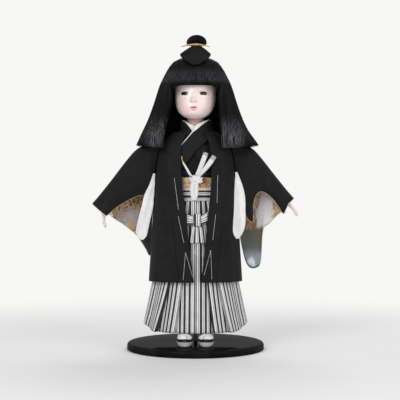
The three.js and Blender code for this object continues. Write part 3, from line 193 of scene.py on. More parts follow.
def group(name, inputs, outputs):
    made = bpy.data.node_groups.new(name, "ShaderNodeTree")
    for label, kind in inputs:
        made.interface.new_socket(label, in_out="INPUT", socket_type="NodeSocket" + kind)
    for label, kind in outputs:
        made.interface.new_socket(label, in_out="OUTPUT", socket_type="NodeSocket" + kind)
    return made, made.nodes.new("NodeGroupInput").outputs, made.nodes.new("NodeGroupOutput").inputs


def use(tree, made, values):
    placed = add(tree, "Group", {"node_tree": made}, values)
    return placed.outputs

# %% [markdown]
# Three effects come back in many materials, so each is a node group. The weave makes the
# crossing threads of a cloth, the mottle makes the slow change of tone that no real surface
# is without, and the stripes place lines of any width at a steady pitch.

# %% Weave group
weave, weave_in, weave_out = group(
    "weave", [("Place", "Vector"), ("Pitch", "Float")], [("Height", "Float"), ("Shade", "Float")])
parts = split(weave, weave_in["Place"])
TURN = 2 * math.pi
warp = sums(weave, "SINE",
            sums(weave, "MULTIPLY", sums(weave, "DIVIDE", parts[0], weave_in["Pitch"]), TURN))
weft = sums(weave, "SINE",
            sums(weave, "MULTIPLY", sums(weave, "DIVIDE", parts[1], weave_in["Pitch"]), TURN))
crossing = sums(weave, "MULTIPLY_ADD", sums(weave, "MULTIPLY", warp, weft), 0.5, 0.5)
slub = add(weave, "TexNoise",
           values={"Vector": weave_in["Place"], "Scale": 900.0, "Detail": 2.0}).outputs[0]
weave.links.new(sums(weave, "MULTIPLY_ADD", slub, 0.6, sums(weave, "MULTIPLY", crossing, 0.5)),
                weave_out["Height"])
weave.links.new(sums(weave, "MULTIPLY_ADD", crossing, 0.3, 0.7), weave_out["Shade"])
print("group:", weave.name)

# %% Mottle group
mottle, mottle_in, mottle_out = group(
    "mottle", [("Place", "Vector"), ("Scale", "Float")], [("Tone", "Float"), ("Fine", "Float")])
slow = add(mottle, "TexNoise", values={
    "Vector": mottle_in["Place"], "Scale": mottle_in["Scale"], "Detail": 4.0, "Roughness": 0.55})
quick = add(mottle, "TexNoise", values={
    "Vector": mottle_in["Place"], "Scale": sums(mottle, "MULTIPLY", mottle_in["Scale"], 9.0),
    "Detail": 3.0})
mottle.links.new(slow.outputs[0], mottle_out["Tone"])
mottle.links.new(quick.outputs[0], mottle_out["Fine"])
print("group:", mottle.name)

# %% Stripe group
stripe, stripe_in, stripe_out = group(
    "stripe", [("Across", "Float"), ("Pitch", "Float"), ("Start", "Float"), ("End", "Float"),
               ("Soft", "Float")],
    [("Mask", "Float")])
place_in_pitch = sums(stripe, "FRACT",
                      sums(stripe, "DIVIDE", stripe_in["Across"], stripe_in["Pitch"]))
rise = sums(stripe, "DIVIDE", sums(stripe, "SUBTRACT", place_in_pitch, stripe_in["Start"]),
            stripe_in["Soft"], clamp=True)
fall = sums(stripe, "DIVIDE", sums(stripe, "SUBTRACT", stripe_in["End"], place_in_pitch),
            stripe_in["Soft"], clamp=True)
stripe.links.new(sums(stripe, "MULTIPLY", rise, fall), stripe_out["Mask"])
print("group:", stripe.name)

# %% [markdown]
# Cloth is laid by one rule. An operator makes a flat grid, which is the cut cloth, and a place
# function says where each point of the cut goes on the doll. Its UV map keeps the cloth's own
# size in metres, so a weave or stripe has its true scale wherever the cloth goes. Solidify then
# gives the cloth its thickness. A lofted form is the same grid wrapped round, ring by ring, and
# closed at both ends.

# %% Maker's tools
BOARD_THICK = 11.0


def metres(place):
    x, y, height = place
    return Vector((x, y, height + BOARD_THICK)) * MM


def finished(name, mesh_source, finish, smooth=True):
    mesh = bpy.data.meshes.new(name)
    mesh_source.to_mesh(mesh)
    mesh_source.free()
    piece = bpy.data.objects.new(name, mesh)
    bpy.context.scene.collection.objects.link(piece)
    mesh.materials.append(finish)
    if smooth:
        mesh.shade_smooth()
    return piece


def baked(piece):
    settled = bpy.context.evaluated_depsgraph_get()
    mesh = bpy.data.meshes.new_from_object(piece.evaluated_get(settled),
                                           preserve_all_data_layers=True, depsgraph=settled)
    made = bpy.data.objects.new(piece.name, mesh)
    name = piece.name
    bpy.context.scene.collection.objects.link(made)
    bpy.data.objects.remove(piece)
    made.name = name
    return made


def thick(piece, thickness, offset=1.0, levels=0):
    wall = piece.modifiers.new("thickness", "SOLIDIFY")
    wall.thickness = thickness * MM
    wall.offset = offset
    if levels:
        soft = piece.modifiers.new("soft", "SUBSURF")
        soft.levels = soft.render_levels = levels
    return piece


def laid(name, place, columns, rows, finish, cut=(1.0, 1.0), closed=False):
    shape = bmesh.new()
    layer = shape.loops.layers.uv.new("cloth")
    bmesh.ops.create_grid(shape, x_segments=columns, y_segments=rows, size=0.5, calc_uvs=True)
    for face in shape.faces:
        for corner in face.loops:
            at = corner.vert.co
            corner[layer].uv = ((at.x + 0.5) * cut[0] * MM, (at.y + 0.5) * cut[1] * MM)
    for vert in shape.verts:
        vert.co = metres(place(vert.co.x + 0.5, vert.co.y + 0.5))
    if closed:
        bmesh.ops.remove_doubles(shape, verts=shape.verts, dist=0.01 * MM)
    return finished(name, shape, finish)


def grown(name, place, steps, sides, finish, cut=(1.0, 1.0)):
    def middle(t):
        ring = [Vector(place(t, 2 * math.pi * k / 12)) for k in range(12)]
        return sum(ring, Vector()) / 12

    def wrapped(u, v):
        step = v * (steps + 2)
        if step < 0.5:
            return middle(0.0)
        if step > steps + 1.5:
            return middle(1.0)
        return place((step - 1) / steps, 2 * math.pi * u)

    piece = laid(name, wrapped, sides, steps + 2, finish, cut, closed=True)
    shape = bmesh.new()
    shape.from_mesh(piece.data)
    bmesh.ops.recalc_face_normals(shape, faces=shape.faces)
    shape.to_mesh(piece.data)
    shape.free()
    piece.data.shade_smooth()
    return piece


def smooth_at(places, values, place):
    last = len(places) - 1
    if place <= places[0]:
        return values[0]
    if place >= places[last]:
        return values[last]
    i = 0
    while place > places[i + 1]:
        i += 1

    def slope(k):
        before, after = max(k - 1, 0), min(k + 1, last)
        return (values[after] - values[before]) / (places[after] - places[before])

    step = places[i + 1] - places[i]
    t = (place - places[i]) / step
    start = values[i] * (1 + 2 * t) * (1 - t) ** 2 + slope(i) * step * t * (1 - t) ** 2
    end = values[i + 1] * (3 - 2 * t) * t ** 2 - slope(i + 1) * step * (1 - t) * t ** 2
    return start + end


def column_at(table, column, place):
    return smooth_at([row[0] for row in table], [row[column] for row in table], place)


def evenly_at(values, t):
    if hasattr(values[0], "__len__"):
        return Vector([evenly_at([value[k] for value in values], t) for k in range(len(values[0]))])
    last = len(values) - 1
    return smooth_at([i / last for i in range(last + 1)], values, t)


def ease(low, high, value):
    t = min(max((value - low) / (high - low), 0.0), 1.0)
    return t * t * (3 - 2 * t)


def tube(name, route, radius, finish, sides=12, steps=40, flat=1.0):
    def place(t, angle):
        along = (evenly_at(route, min(t + 0.01, 1.0))
                 - evenly_at(route, max(t - 0.01, 0.0))).normalized()
        across = Vector((0.0, 1.0, 0.0)).cross(along).normalized()
        upright = along.cross(across)
        reach = radius(t) if callable(radius) else radius
        return (evenly_at(route, t) + across * (reach * math.cos(angle))
                + upright * (reach * flat * math.sin(angle)))

    length = sum((Vector(b) - Vector(a)).length for a, b in zip(route, route[1:]))
    girth = 2 * math.pi * (radius(0.5) if callable(radius) else radius)
    return grown(name, place, steps, sides, finish, cut=(girth, length))

# %% [markdown]
# Each piece is then placed by name: the body that it rides on and the CAD nodes that it stands
# for.

# %% Placing
made_pieces = []


def placed(piece, body, slot, *nodes):
    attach(piece, body)
    if nodes:
        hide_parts(*nodes)
    made_pieces.append(piece.name)
    return piece


def flat_area(piece):
    return sum(polygon.area for polygon in piece.data.polygons)


def as_cloth(piece, area, cut):
    width, length = (size * MM for size in cut)
    share = min(area / (width * length), 1.0)
    print("   ", round(area * 1e6), "mm2 laid;", piece.name, "cut", [round(size) for size in cut],
          "mm, share used", round(share, 2))


def dressed(piece, wall, body, slot, node, cut, held, rests_on, bake=True, holes=False, **options):
    area = flat_area(piece)
    piece = thick(piece, wall, **options)
    if bake:
        piece = baked(piece)
    if holes:
        piece = armholes(piece)
    placed(piece, body, slot, node)
    as_cloth(piece, area, cut)

# %% [markdown]
# The finishes come next, each named for what it is on the doll. Lacquer is nearly black with
# a clear coat and a little dust, which keeps its broad top from looking like a mirror.

# %% Lacquer
lacquer, tree, shader = material("black_lacquer", Specular_IOR_Level=0.0, Coat_Weight=0.1,
                                 Coat_Roughness=0.05, Coat_IOR=1.4)
place = object_place(tree)
dust = use(tree, mottle, {"Place": place, "Scale": 38.0})
tone = blended(tree, between(tree, dust["Tone"], 0.35, 0.75), (0.006, 0.005, 0.006, 1),
               (0.014, 0.012, 0.012, 1))
specks = add(tree, "TexVoronoi", {"feature": "F1"}, {"Vector": place, "Scale": 420.0})
speck = sums(tree, "LESS_THAN", specks.outputs["Distance"], 0.05)
speck = sums(tree, "MULTIPLY", speck, between(tree, dust["Fine"], 0.5, 0.62))
wired(shader, Base_Color=blended(tree, speck, tone, (0.12, 0.12, 0.12, 1)))
rough = sums(tree, "MULTIPLY_ADD", dust["Fine"], 0.18, 0.16)
wired(shader, Roughness=rough)
print("finish:", lacquer.name)

# %% Bare wood
bare_wood, tree, shader = material("bare_wood", Roughness=0.62)
place = object_place(tree)
run = add(tree, "Mapping", values={"Vector": place, "Scale": (1.0, 1.0, 0.12)}).outputs[0]
grain = add(tree, "TexWave", {"wave_type": "BANDS"},
            {"Vector": run, "Scale": 90.0, "Distortion": 6.0, "Detail": 3.0})
pores = add(tree, "TexNoise", values={"Vector": run, "Scale": 700.0, "Detail": 2.0}).outputs[0]
wired(shader,
      Base_Color=blended(tree, grain.outputs["Fac"], (0.30, 0.19, 0.11, 1), (0.2, 0.12, 0.06, 1)))
bumped(shader, pores, 0.25, 0.0003)
print("finish:", bare_wood.name)

# %% Steel
steel, tree, shader = material("drawn_steel", Metallic=1.0)
place = object_place(tree)
haze = use(tree, mottle, {"Place": place, "Scale": 260.0})
wired(shader, Base_Color=blended(tree, haze["Tone"], (0.42, 0.42, 0.43, 1), (0.3, 0.3, 0.31, 1)))
wired(shader, Roughness=sums(tree, "MULTIPLY_ADD", haze["Fine"], 0.2, 0.26))
print("finish:", steel.name)

# %% [markdown]
# The cloths differ in their thread, their tone and their sheen. Black silk crepe is not black
# all through: its grain catches light, and it is a little browner where it has faded.

# %% Plain cloths
def cloth(name, low, high, pitch, bump_depth, roughness, sheen, tint=1.0):
    made, tree, shader = material(
        name, Roughness=roughness, Sheen_Weight=sheen, Sheen_Roughness=0.45, Specular_IOR_Level=0.2)
    threads = cloth_place(tree)
    spot = object_place(tree)
    soft = use(tree, mottle, {"Place": spot, "Scale": 60.0})
    woven = use(tree, weave, {"Place": threads, "Pitch": pitch})
    tone = blended(tree, between(tree, soft["Tone"], 0.3, 0.7), low, high)
    shade = sums(tree, "MULTIPLY", woven["Shade"], tint)
    even = add(tree, "CombineColor", values={"Red": shade, "Green": shade, "Blue": shade})
    wired(shader, Base_Color=blended(tree, 1.0, tone, even.outputs[0], "MULTIPLY"))
    bumped(shader, woven["Height"], 0.5, bump_depth * MM)
    return made


black_crepe = cloth("black_silk_crepe", (0.0045, 0.0044, 0.005, 1), (0.009, 0.0088, 0.01, 1),
                    0.0007, 0.09, 0.75, 0.03)
robe_silk = cloth("black_robe_silk", (0.004, 0.004, 0.0045, 1), (0.008, 0.008, 0.009, 1), 0.0006,
                  0.06, 0.7, 0.03)
white_silk = cloth("white_silk", (0.8, 0.8, 0.795, 1), (0.9, 0.9, 0.89, 1), 0.0006, 0.05, 0.7, 0.05,
                   1.15)
sock_cotton = cloth("white_cotton", (0.82, 0.82, 0.81, 1), (0.92, 0.92, 0.91, 1), 0.0005, 0.05,
                    0.85, 0.0, 1.1)
print("finishes:", black_crepe.name, robe_silk.name, white_silk.name, sock_cotton.name)

# %% [markdown]
# The trousers' silk is woven in stripes: pairs of silver-white bands on black, with a fine
# twill across them. The stripes are read from the cloth's own UV map, across its width.

# %% Striped silk
def striped(name, axis, pitch, pale=0.93):
    made, tree, shader = material(name, Roughness=0.5, Sheen_Weight=0.1, Sheen_Roughness=0.4)
    threads = cloth_place(tree)
    at = split(tree, threads)
    spot = object_place(tree)
    soft = use(tree, mottle, {"Place": spot, "Scale": 80.0})
    band = {"Across": at[axis], "Pitch": pitch, "Soft": 0.03}
    first = use(tree, stripe, {**band, "Start": 0.04, "End": 0.3})["Mask"]
    second = use(tree, stripe, {**band, "Start": 0.36, "End": 0.59})["Mask"]
    slant = sums(tree, "MULTIPLY_ADD", at[1 - axis], 0.55, at[axis])
    twill = sums(tree, "MULTIPLY_ADD", sums(tree, "SINE", sums(tree, "MULTIPLY", slant, 2900.0)),
                 0.5, 0.5)
    light = sums(tree, "MAXIMUM", first, second)
    worn = sums(tree, "MULTIPLY_ADD", between(tree, soft["Tone"], 0.35, 0.7), 0.1, 0.9)
    light = sums(tree, "MULTIPLY", light,
                 sums(tree, "MULTIPLY", worn, sums(tree, "MULTIPLY_ADD", twill, 0.14, 0.86)))
    wired(shader,
          Base_Color=blended(tree, light, (0.004, 0.004, 0.0045, 1), (pale, pale, pale * 1.01, 1)))
    bumped(shader, sums(tree, "ADD", twill, light), 0.4, 0.00008)
    return made


STRIPE_PITCH = 8.0 * MM
skirt_silk = striped("striped_silk", 0, STRIPE_PITCH)
band_silk = striped("striped_silk_turned", 1, 8.2 * MM)
print("finishes:", skirt_silk.name, band_silk.name)

# %% [markdown]
# Brocade carries a figure in gold thread over its ground. A Voronoi pattern gives the scattered
# blossoms, and a slanted wave gives the diagonal ribs that the figured threads float over.

# %% Brocade group
brocade, brocade_in, brocade_out = group(
    "brocade", [("Place", "Vector"), ("Size", "Float")], [("Figure", "Float"), ("Ribs", "Float")])
sized = add(brocade, "VectorMath", {"operation": "SCALE"},
            {0: brocade_in["Place"], "Scale": brocade_in["Size"]}).outputs[0]
bent = add(brocade, "TexNoise", values={"Vector": sized, "Scale": 0.9, "Detail": 2.0}).outputs[1]
wander = add(brocade, "VectorMath", {"operation": "MULTIPLY_ADD"},
             {0: bent, 1: (0.7, 0.7, 0.7), 2: sized}).outputs[0]
cells = add(brocade, "TexVoronoi", {"feature": "DISTANCE_TO_EDGE"},
            {"Vector": wander, "Scale": 1.0}).outputs[0]
dots = add(brocade, "TexVoronoi", {"feature": "F1"},
           {"Vector": wander, "Scale": 2.3}).outputs["Distance"]
lines = sums(brocade, "LESS_THAN", cells, 0.075)
blossoms = sums(brocade, "LESS_THAN", dots, 0.27)
brocade.links.new(sums(brocade, "MAXIMUM", lines, blossoms), brocade_out["Figure"])
at = split(brocade, sized)
slope = sums(brocade, "MULTIPLY", sums(brocade, "ADD", at[0], at[1]), 34.0)
brocade.links.new(sums(brocade, "MULTIPLY_ADD", sums(brocade, "SINE", slope), 0.5, 0.5),
                  brocade_out["Ribs"])
print("group:", brocade.name)

# %% [markdown]
# Some colours sit in one place on a piece: a patch woven into a lining, rose on a cheek. A soft
# ellipse makes each of them, so one small group serves them all.

# %% Painted spot group
spot, spot_in, spot_out = group("painted_spot", [
    ("Place", "Vector"), ("Across", "Float"), ("Height", "Float"), ("Half Width", "Float"),
    ("Half Height", "Float"), ("Soft", "Float")], [("Mask", "Float")])
at = split(spot, spot_in["Place"])
side_way = sums(spot, "DIVIDE", sums(spot, "SUBTRACT", at[0], spot_in["Across"]),
                spot_in["Half Width"])
up_way = sums(spot, "DIVIDE", sums(spot, "SUBTRACT", at[2], spot_in["Height"]),
              spot_in["Half Height"])
reach = sums(spot, "SQRT", sums(spot, "ADD", sums(spot, "MULTIPLY", side_way, side_way),
                                sums(spot, "MULTIPLY", up_way, up_way)))
low = sums(spot, "SUBTRACT", 1.0, spot_in["Soft"])
high = sums(spot, "ADD", 1.0, spot_in["Soft"])
spot.links.new(between(spot, reach, high, low), spot_out["Mask"])
print("group:", spot.name)


def spotted(tree, place, across, height, half_width, half_height, softness):
    return use(tree, spot, {
        "Place": place, "Across": across * MM, "Height": height * MM, "Half Width": half_width * MM,
        "Half Height": half_height * MM, "Soft": softness})["Mask"]

# %% Sash brocade
WINE_HEIGHT = 255.5
WINE_HALF_HEIGHT = 8.5
sash_brocade, tree, shader = material("sash_brocade", Roughness=0.42, Sheen_Weight=0.15,
                                      Sheen_Roughness=0.4)
threads = cloth_place(tree)
woven = use(tree, brocade, {"Place": threads, "Size": 120.0})
place = object_place(tree)
ground = blended(tree, woven["Ribs"], (0.62, 0.44, 0.25, 1), (0.84, 0.71, 0.52, 1))
ground = blended(tree, woven["Figure"], ground, (0.52, 0.3, 0.13, 1))
wine = blended(tree, woven["Figure"], (0.2, 0.05, 0.03, 1), (0.62, 0.36, 0.12, 1))
for across, half_width, depth in ((11, 8, 0.95), (-26, 7, 0.8), (38, 9, 0.9), (-45, 8, 0.9)):
    mask = spotted(tree, place, across, WINE_HEIGHT, half_width, WINE_HALF_HEIGHT, 0.3)
    ground = blended(tree, sums(tree, "MULTIPLY", mask, depth), ground, wine)
height = split(tree, place)[2]
edge = between(tree, height, 0.2468, 0.2458)
wired(shader, Base_Color=blended(tree, edge, ground, (0.88, 0.79, 0.66, 1)))
wired(shader, Metallic=sums(tree, "MULTIPLY", woven["Figure"], 0.35))
bumped(shader, sums(tree, "ADD", woven["Figure"], woven["Ribs"]), 0.5, 0.0002)
print("finish:", sash_brocade.name)

# %% [markdown]
# The sleeve lining changes over its length: a gold border with dark dots runs round the edge,
# silver-lilac fills the middle, and orange and blue-grey patches are woven near the hem. The
# threads follow the UV map, while the patches have their places on the doll. Noise makes the
# borders wander as woven ones do.

# %% Lining brocade
def lining_silk(name, middle, low_tone, patches, low_from, last):
    made, tree, shader = material(name, Roughness=0.42, Sheen_Weight=0.12, Sheen_Roughness=0.4)
    threads = cloth_place(tree)
    place = object_place(tree)
    woven = use(tree, brocade, {"Place": threads, "Size": 190.0})
    drift = use(tree, mottle, {"Place": threads, "Scale": 70.0})
    loose = sums(tree, "MULTIPLY", sums(tree, "SUBTRACT", drift["Tone"], 0.5), 0.02)
    shift = add(tree, "VectorMath", {"operation": "ADD"},
                {0: place, 1: add(tree, "CombineXYZ", values={
        "X": loose, "Z": loose}).outputs[0]}).outputs[0]
    motif = add(tree, "TexVoronoi", {"feature": "F1"},
                {"Vector": threads, "Scale": 250.0, "Randomness": 1.0})
    dotted = sums(tree, "LESS_THAN", motif.outputs["Distance"], 0.36)
    sparks = add(tree, "TexVoronoi", {"feature": "F1"},
                 {"Vector": threads, "Scale": 340.0, "Randomness": 1.0})
    sparked = sums(tree, "LESS_THAN", sparks.outputs["Distance"], 0.3)
    gold = blended(tree, woven["Ribs"], (0.42, 0.23, 0.09, 1), (0.62, 0.42, 0.22, 1))
    gold = blended(tree, sparked, gold, (0.8, 0.72, 0.58, 1))
    colour = blended(tree, dotted, gold, (0.06, 0.026, 0.012, 1))
    for tone, across, height, half_width, half_height, strength in [middle] + patches:
        mask = spotted(tree, shift, across, height, half_width, half_height, 0.28)
        rib = blended(tree, woven["Ribs"], tone, tuple(0.72 * c for c in tone[:3]) + (1,))
        rib = blended(tree, sums(tree, "MULTIPLY", sparked, 0.3), rib, (0.3, 0.26, 0.26, 1))
        colour = blended(tree, sums(tree, "MULTIPLY", mask, strength), colour, rib)
    at = split(tree, shift)
    lower = between(tree, at[2], (low_from + 6) * MM, (low_from - 6) * MM)
    silver = between(tree, at[2], (low_from - 28) * MM, (low_from - 46) * MM)
    low_colour = blended(tree, silver, blended(tree, woven["Figure"], low_tone,
                                               (0.075, 0.09, 0.04, 1)), (0.26, 0.29, 0.36, 1))
    colour = blended(tree, lower, colour, low_colour)
    # The last spots are painted light: near-black painted shade deep inside the sleeves, and a pale
    # painted highlight low on the left lining.
    for tone, across, height, half_width, half_height in last:
        mask = spotted(tree, shift, across, height, half_width, half_height, 0.35)
        colour = blended(tree, mask, colour, tone)
    wired(shader, Base_Color=colour)
    wired(shader, Roughness=sums(tree, "MULTIPLY_ADD", drift["Fine"], 0.25, 0.3))
    bumped(shader, sums(tree, "ADD", woven["Figure"], woven["Ribs"]), 0.45, 0.00015)
    return made


SILVER = (0.78, 0.77, 0.78, 1)
INNER_SLEEVE_SHADE = (0.006, 0.006, 0.007, 1)
LILAC = (0.46, 0.42, 0.45, 1)
# Left lining: its dark lower tone is painted shade over a greenish silver-grey, the pale spot low down is
# a painted highlight, and the near-black spot is painted shade deep inside the sleeve.
left_lining_silk = lining_silk(
    "lining_brocade_silver", (SILVER, 108, 213, 12, 27, 1.0), (0.085, 0.075, 0.068, 1),
    [(SILVER, 102, 194, 6, 20, 0.9), ((0.3, 0.13, 0.04, 1), 83, 196, 12, 10, 0.7)], 186,
    [((0.7, 0.72, 0.76, 1), 86, 128, 7, 11), (INNER_SLEEVE_SHADE, 54, 288, 12, 44)])
# Right lining: both near-black spots are painted shade inside the sleeve.
right_lining_silk = lining_silk(
    "lining_brocade_lilac", (LILAC, -101, 200, 19, 15, 0.95), (0.36, 0.34, 0.36, 1),
    [((0.6, 0.27, 0.07, 1), -111, 203, 7, 2.2, 0.85),
     ((0.62, 0.33, 0.08, 1), -99, 191, 3.6, 8, 0.8),
     ((0.27, 0.3, 0.34, 1), -111, 196, 8, 4, 0.95)], 150,
    [(INNER_SLEEVE_SHADE, -54, 288, 12, 44), (INNER_SLEEVE_SHADE, -66, 161, 21, 62)])
print("finishes:", left_lining_silk.name, right_lining_silk.name)

# %% Piping, gold cord and white cord
def thread_finish(name, pale, dark, pitch, metal, roughness):
    made, tree, shader = material(name, Roughness=roughness)
    at = split(tree, cloth_place(tree))
    slant = sums(tree, "ADD", at[0], at[1])
    strands = sums(tree, "SINE", sums(tree, "MULTIPLY", sums(tree, "DIVIDE", slant, pitch), TURN))
    strands = sums(tree, "MULTIPLY_ADD", strands, 0.5, 0.5)
    wired(shader, Base_Color=blended(tree, strands, dark, pale))
    wired(shader, Metallic=sums(tree, "MULTIPLY", strands, metal))
    bumped(shader, strands, 0.7, pitch * 0.3)
    return made


piping_silk = thread_finish("piping_silk", (0.78, 0.7, 0.55, 1), (0.5, 0.4, 0.24, 1), 0.0009, 0.0,
                            0.5)
cuff_silk = thread_finish("cuff_silk", (0.82, 0.72, 0.7, 1), (0.66, 0.55, 0.53, 1), 0.0009, 0.0,
                          0.6)
gold_thread = thread_finish("gold_thread", (0.85, 0.62, 0.22, 1), (0.4, 0.22, 0.06, 1), 0.0011, 0.8,
                            0.34)
white_thread = thread_finish("white_silk_cord", (0.94, 0.94, 0.93, 1), (0.72, 0.72, 0.71, 1),
                             0.0016, 0.0, 0.55)
velvet = cloth("black_velvet", (0.006, 0.006, 0.007, 1), (0.012, 0.012, 0.013, 1), 0.0005, 0.05,
               0.9, 0.12)
print("finishes:", piping_silk.name, cuff_silk.name, gold_thread.name, white_thread.name,
      velvet.name)

# %% [markdown]
# The stand board is turned on a lathe, so it is made by a spin: half of its section is drawn
# once, and a full turn sweeps it round. The screw from below needs its countersunk hole, which
# a Boolean cuts.

# %% Stand board
BOARD_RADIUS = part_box("stand_board")[1].x / MM
ROUNDING = 4.5
CHAMFER = 1.2


def turned(name, section, centre_y, steps, finish):
    shape = bmesh.new()
    points = [shape.verts.new((radius * MM, centre_y * MM, z * MM)) for radius, z in section]
    edges = [shape.edges.new(pair) for pair in zip(points, points[1:])]
    bmesh.ops.spin(shape, geom=points + edges, cent=(0, centre_y * MM, 0), axis=(0, 0, 1),
                   angle=2 * math.pi, steps=steps, use_merge=True)
    bmesh.ops.remove_doubles(shape, verts=shape.verts, dist=0.001 * MM)
    bmesh.ops.recalc_face_normals(shape, faces=shape.faces)
    return finished(name, shape, finish)


corner = [math.pi / 2 * k / 10 for k in range(11)]
board_section = [(0, 0), (BOARD_RADIUS - CHAMFER, 0), (BOARD_RADIUS, CHAMFER)]
board_section += [(BOARD_RADIUS - ROUNDING * (1 - math.cos(a)), BOARD_THICK - ROUNDING
                   * (1 - math.sin(a))) for a in corner]
board_section += [(BOARD_RADIUS * 0.5, BOARD_THICK), (0, BOARD_THICK)]
board = turned("lacquered_board", board_section, 0.0, 144, lacquer)
post_low, post_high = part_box("support_post")
post_y = (post_low.y + post_high.y) / 2 / MM
socket = post_low.z / MM - 0.3
hole = turned("screw_hole",
              [(0, -2), (4.3, -2), (4.3, 0.6), (1.6, 3.0), (1.6, socket + 0.1), (2.8, socket + 0.1),
                             (2.8, BOARD_THICK + 2), (0, BOARD_THICK + 2)], post_y, 32, lacquer)
cutter = board.modifiers.new("hole", "BOOLEAN")
cutter.operation, cutter.object, cutter.solver = "DIFFERENCE", hole, "EXACT"
board = baked(board)
bpy.data.objects.remove(hole)
placed(board, "stand", "lacquer", "stand_board")
print("board radius", round(BOARD_RADIUS), "mm,", len(board.data.polygons), "faces")

# %% Frame nodes that keep their own shape
def finish_node(name, finish, smooth=True):
    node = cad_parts[name]
    node.data.materials.clear()
    node.data.materials.append(finish)


for name in ("support_post", "torso"):
    finish_node(name, bare_wood)
for name in ("post_screw", "shoulder_wire", "left_arm_wire", "right_arm_wire"):
    finish_node(name, steel)
print("kept nodes finished in wood and steel")

# %% [markdown]
# A rounded-square ring is the section of nearly every part of the doll: the torso, the robes
# over it and the soles. One function gives its points, and each form only changes its size.

# %% Rings
def ring_point(half_width, half_depth, squareness, angle, height):
    power = 2 / squareness
    x = half_width * math.copysign(abs(math.sin(angle)) ** power, math.sin(angle))
    y = -half_depth * math.copysign(abs(math.cos(angle)) ** power, math.cos(angle))
    return Vector((x, y, height))


def angle_at(x, half_width, squareness):
    share = min(abs(x) / half_width, 1.0)
    return math.copysign(math.asin(share ** (squareness / 2)), x)

# %% [markdown]
# The feet wear split-toe socks on padded sandals. The sole narrows below, so from the front it
# tapers down to the board. Its sides are pale lavender and its top is black. The velvet strap
# lies low round the toes and runs from the toe split to both sides.

# %% Sole finish
sole_skin, tree, shader = material("pale_sole_leather", Roughness=0.42)
place = object_place(tree)
soft = use(tree, mottle, {"Place": place, "Scale": 120.0})
height = split(tree, place)[2]
layer = sums(tree, "SINE", sums(tree, "MULTIPLY", height, TURN / (2.2 * MM)))
tone = blended(tree, between(tree, soft["Tone"], 0.3, 0.7), (0.74, 0.72, 0.78, 1),
               (0.84, 0.82, 0.87, 1))
side_tone = blended(tree, between(tree, layer, 0.7, 1.0), tone, (0.5, 0.48, 0.53, 1))
cover = between(tree, height, 0.0178, 0.0181)
wired(shader, Base_Color=blended(tree, cover, side_tone, (0.006, 0.006, 0.007, 1)))
bumped(shader, soft["Fine"], 0.3, 0.0002)
print("finish:", sole_skin.name)

# %% Soles, socks and straps
SEAT = 0.3
FOOT_SPREAD = 16.0
SOLE_TOE = -67.0
SOLE_LENGTH = 60.0
SOLE_HALF_WIDTH = 13.7
SOLE_THICK = 8.5
FOOT_HALF_WIDTH = 12.4
FOOT_LENGTH = 55.0
FOOT_HEIGHT = 27.0
TOE_HEIGHT = 8.4
STRAP_RADIUS = 1.1
sole_top = SEAT + SOLE_THICK

for name, side in (("left", 1), ("right", -1)):
    foot_x = side * FOOT_SPREAD
    slot_x = foot_x - side * FOOT_HALF_WIDTH * 0.3

    def sole_place(t, angle):
        widen = 0.72 + 0.28 * t ** 0.7
        round_edge = 1 - 0.05 * max(t - 0.8, 0) / 0.2
        ring = ring_point(SOLE_HALF_WIDTH * widen, SOLE_LENGTH / 2 * (0.9 + 0.1 * t), 2.5, angle,
                          0) * round_edge
        waist = 1 - 0.1 * ease(0, 1, (ring.y + SOLE_LENGTH / 2) / SOLE_LENGTH)
        return Vector(
            (foot_x + ring.x * waist, SOLE_TOE + SOLE_LENGTH / 2 + ring.y, SEAT + SOLE_THICK * t))

    sole = grown(f"{name}_sandal_sole", sole_place, 10, 64, sole_skin)
    placed(sole, "doll", "sole", f"{name}_zori_sole")

    foot_toe = SOLE_TOE + (SOLE_HALF_WIDTH - FOOT_HALF_WIDTH) * 1.5

    def sock_place(t, angle):
        swing = math.pi * (0.02 + 0.96 * t)
        along = 0.5 - 0.5 * math.cos(swing)
        girth = math.sin(swing) ** 0.5
        tall = TOE_HEIGHT + (FOOT_HEIGHT - TOE_HEIGHT) * ease(0.34, 0.9, along)
        up = max(math.sin(angle), 0.0) ** 0.85
        under = 0.5 * min(math.sin(angle), 0.0)
        half = FOOT_HALF_WIDTH * girth * (1 - 0.16 * along)
        x = foot_x + half * math.cos(angle)
        y = foot_toe + FOOT_LENGTH * along
        z = sole_top + SEAT + 0.5 + (tall * up * girth + under)
        split = math.exp(-((x - slot_x) / 0.75) ** 2) * (1 - ease(0.16, 0.3, along))
        fold = 0.25 * math.sin(along * 34 + 2 * math.sin(angle)) * ease(0.45, 0.75, along) * up
        return Vector(
            (x + fold, y + 3.0 * split * (1 - ease(0.0, 0.14, along)), z - 4.5 * split * up + fold))

    sock = grown(f"{name}_split_toe_sock", sock_place, 56, 96, sock_cotton, cut=(70, 60))
    placed(sock, "doll", "white_cloth", f"{name}_tabi")

    rear_y = SOLE_TOE + SOLE_LENGTH * 0.6
    low = sole_top + SEAT + STRAP_RADIUS
    reach = SOLE_HALF_WIDTH * 0.86
    strap_route = [
        Vector((foot_x - reach, rear_y, low)),
        Vector((foot_x - reach * 1.06, foot_toe + 15, low + 0.6)),
        Vector((foot_x - reach * 0.74, foot_toe + 1.6, low + 0.3)),
        Vector((slot_x, foot_toe - 1.0, low + 0.7)),
        Vector((foot_x + reach * 0.74, foot_toe + 1.6, low + 0.3)),
        Vector((foot_x + reach * 1.06, foot_toe + 15, low + 0.6)),
        Vector((foot_x + reach, rear_y, low))]
    strap = tube(f"{name}_sandal_strap", strap_route, STRAP_RADIUS * 1.05, velvet, sides=14,
                 steps=60)
    placed(strap, "doll", "black_cloth", f"{name}_zori_thong")
print("feet:", len(made_pieces) - 1, "pieces")

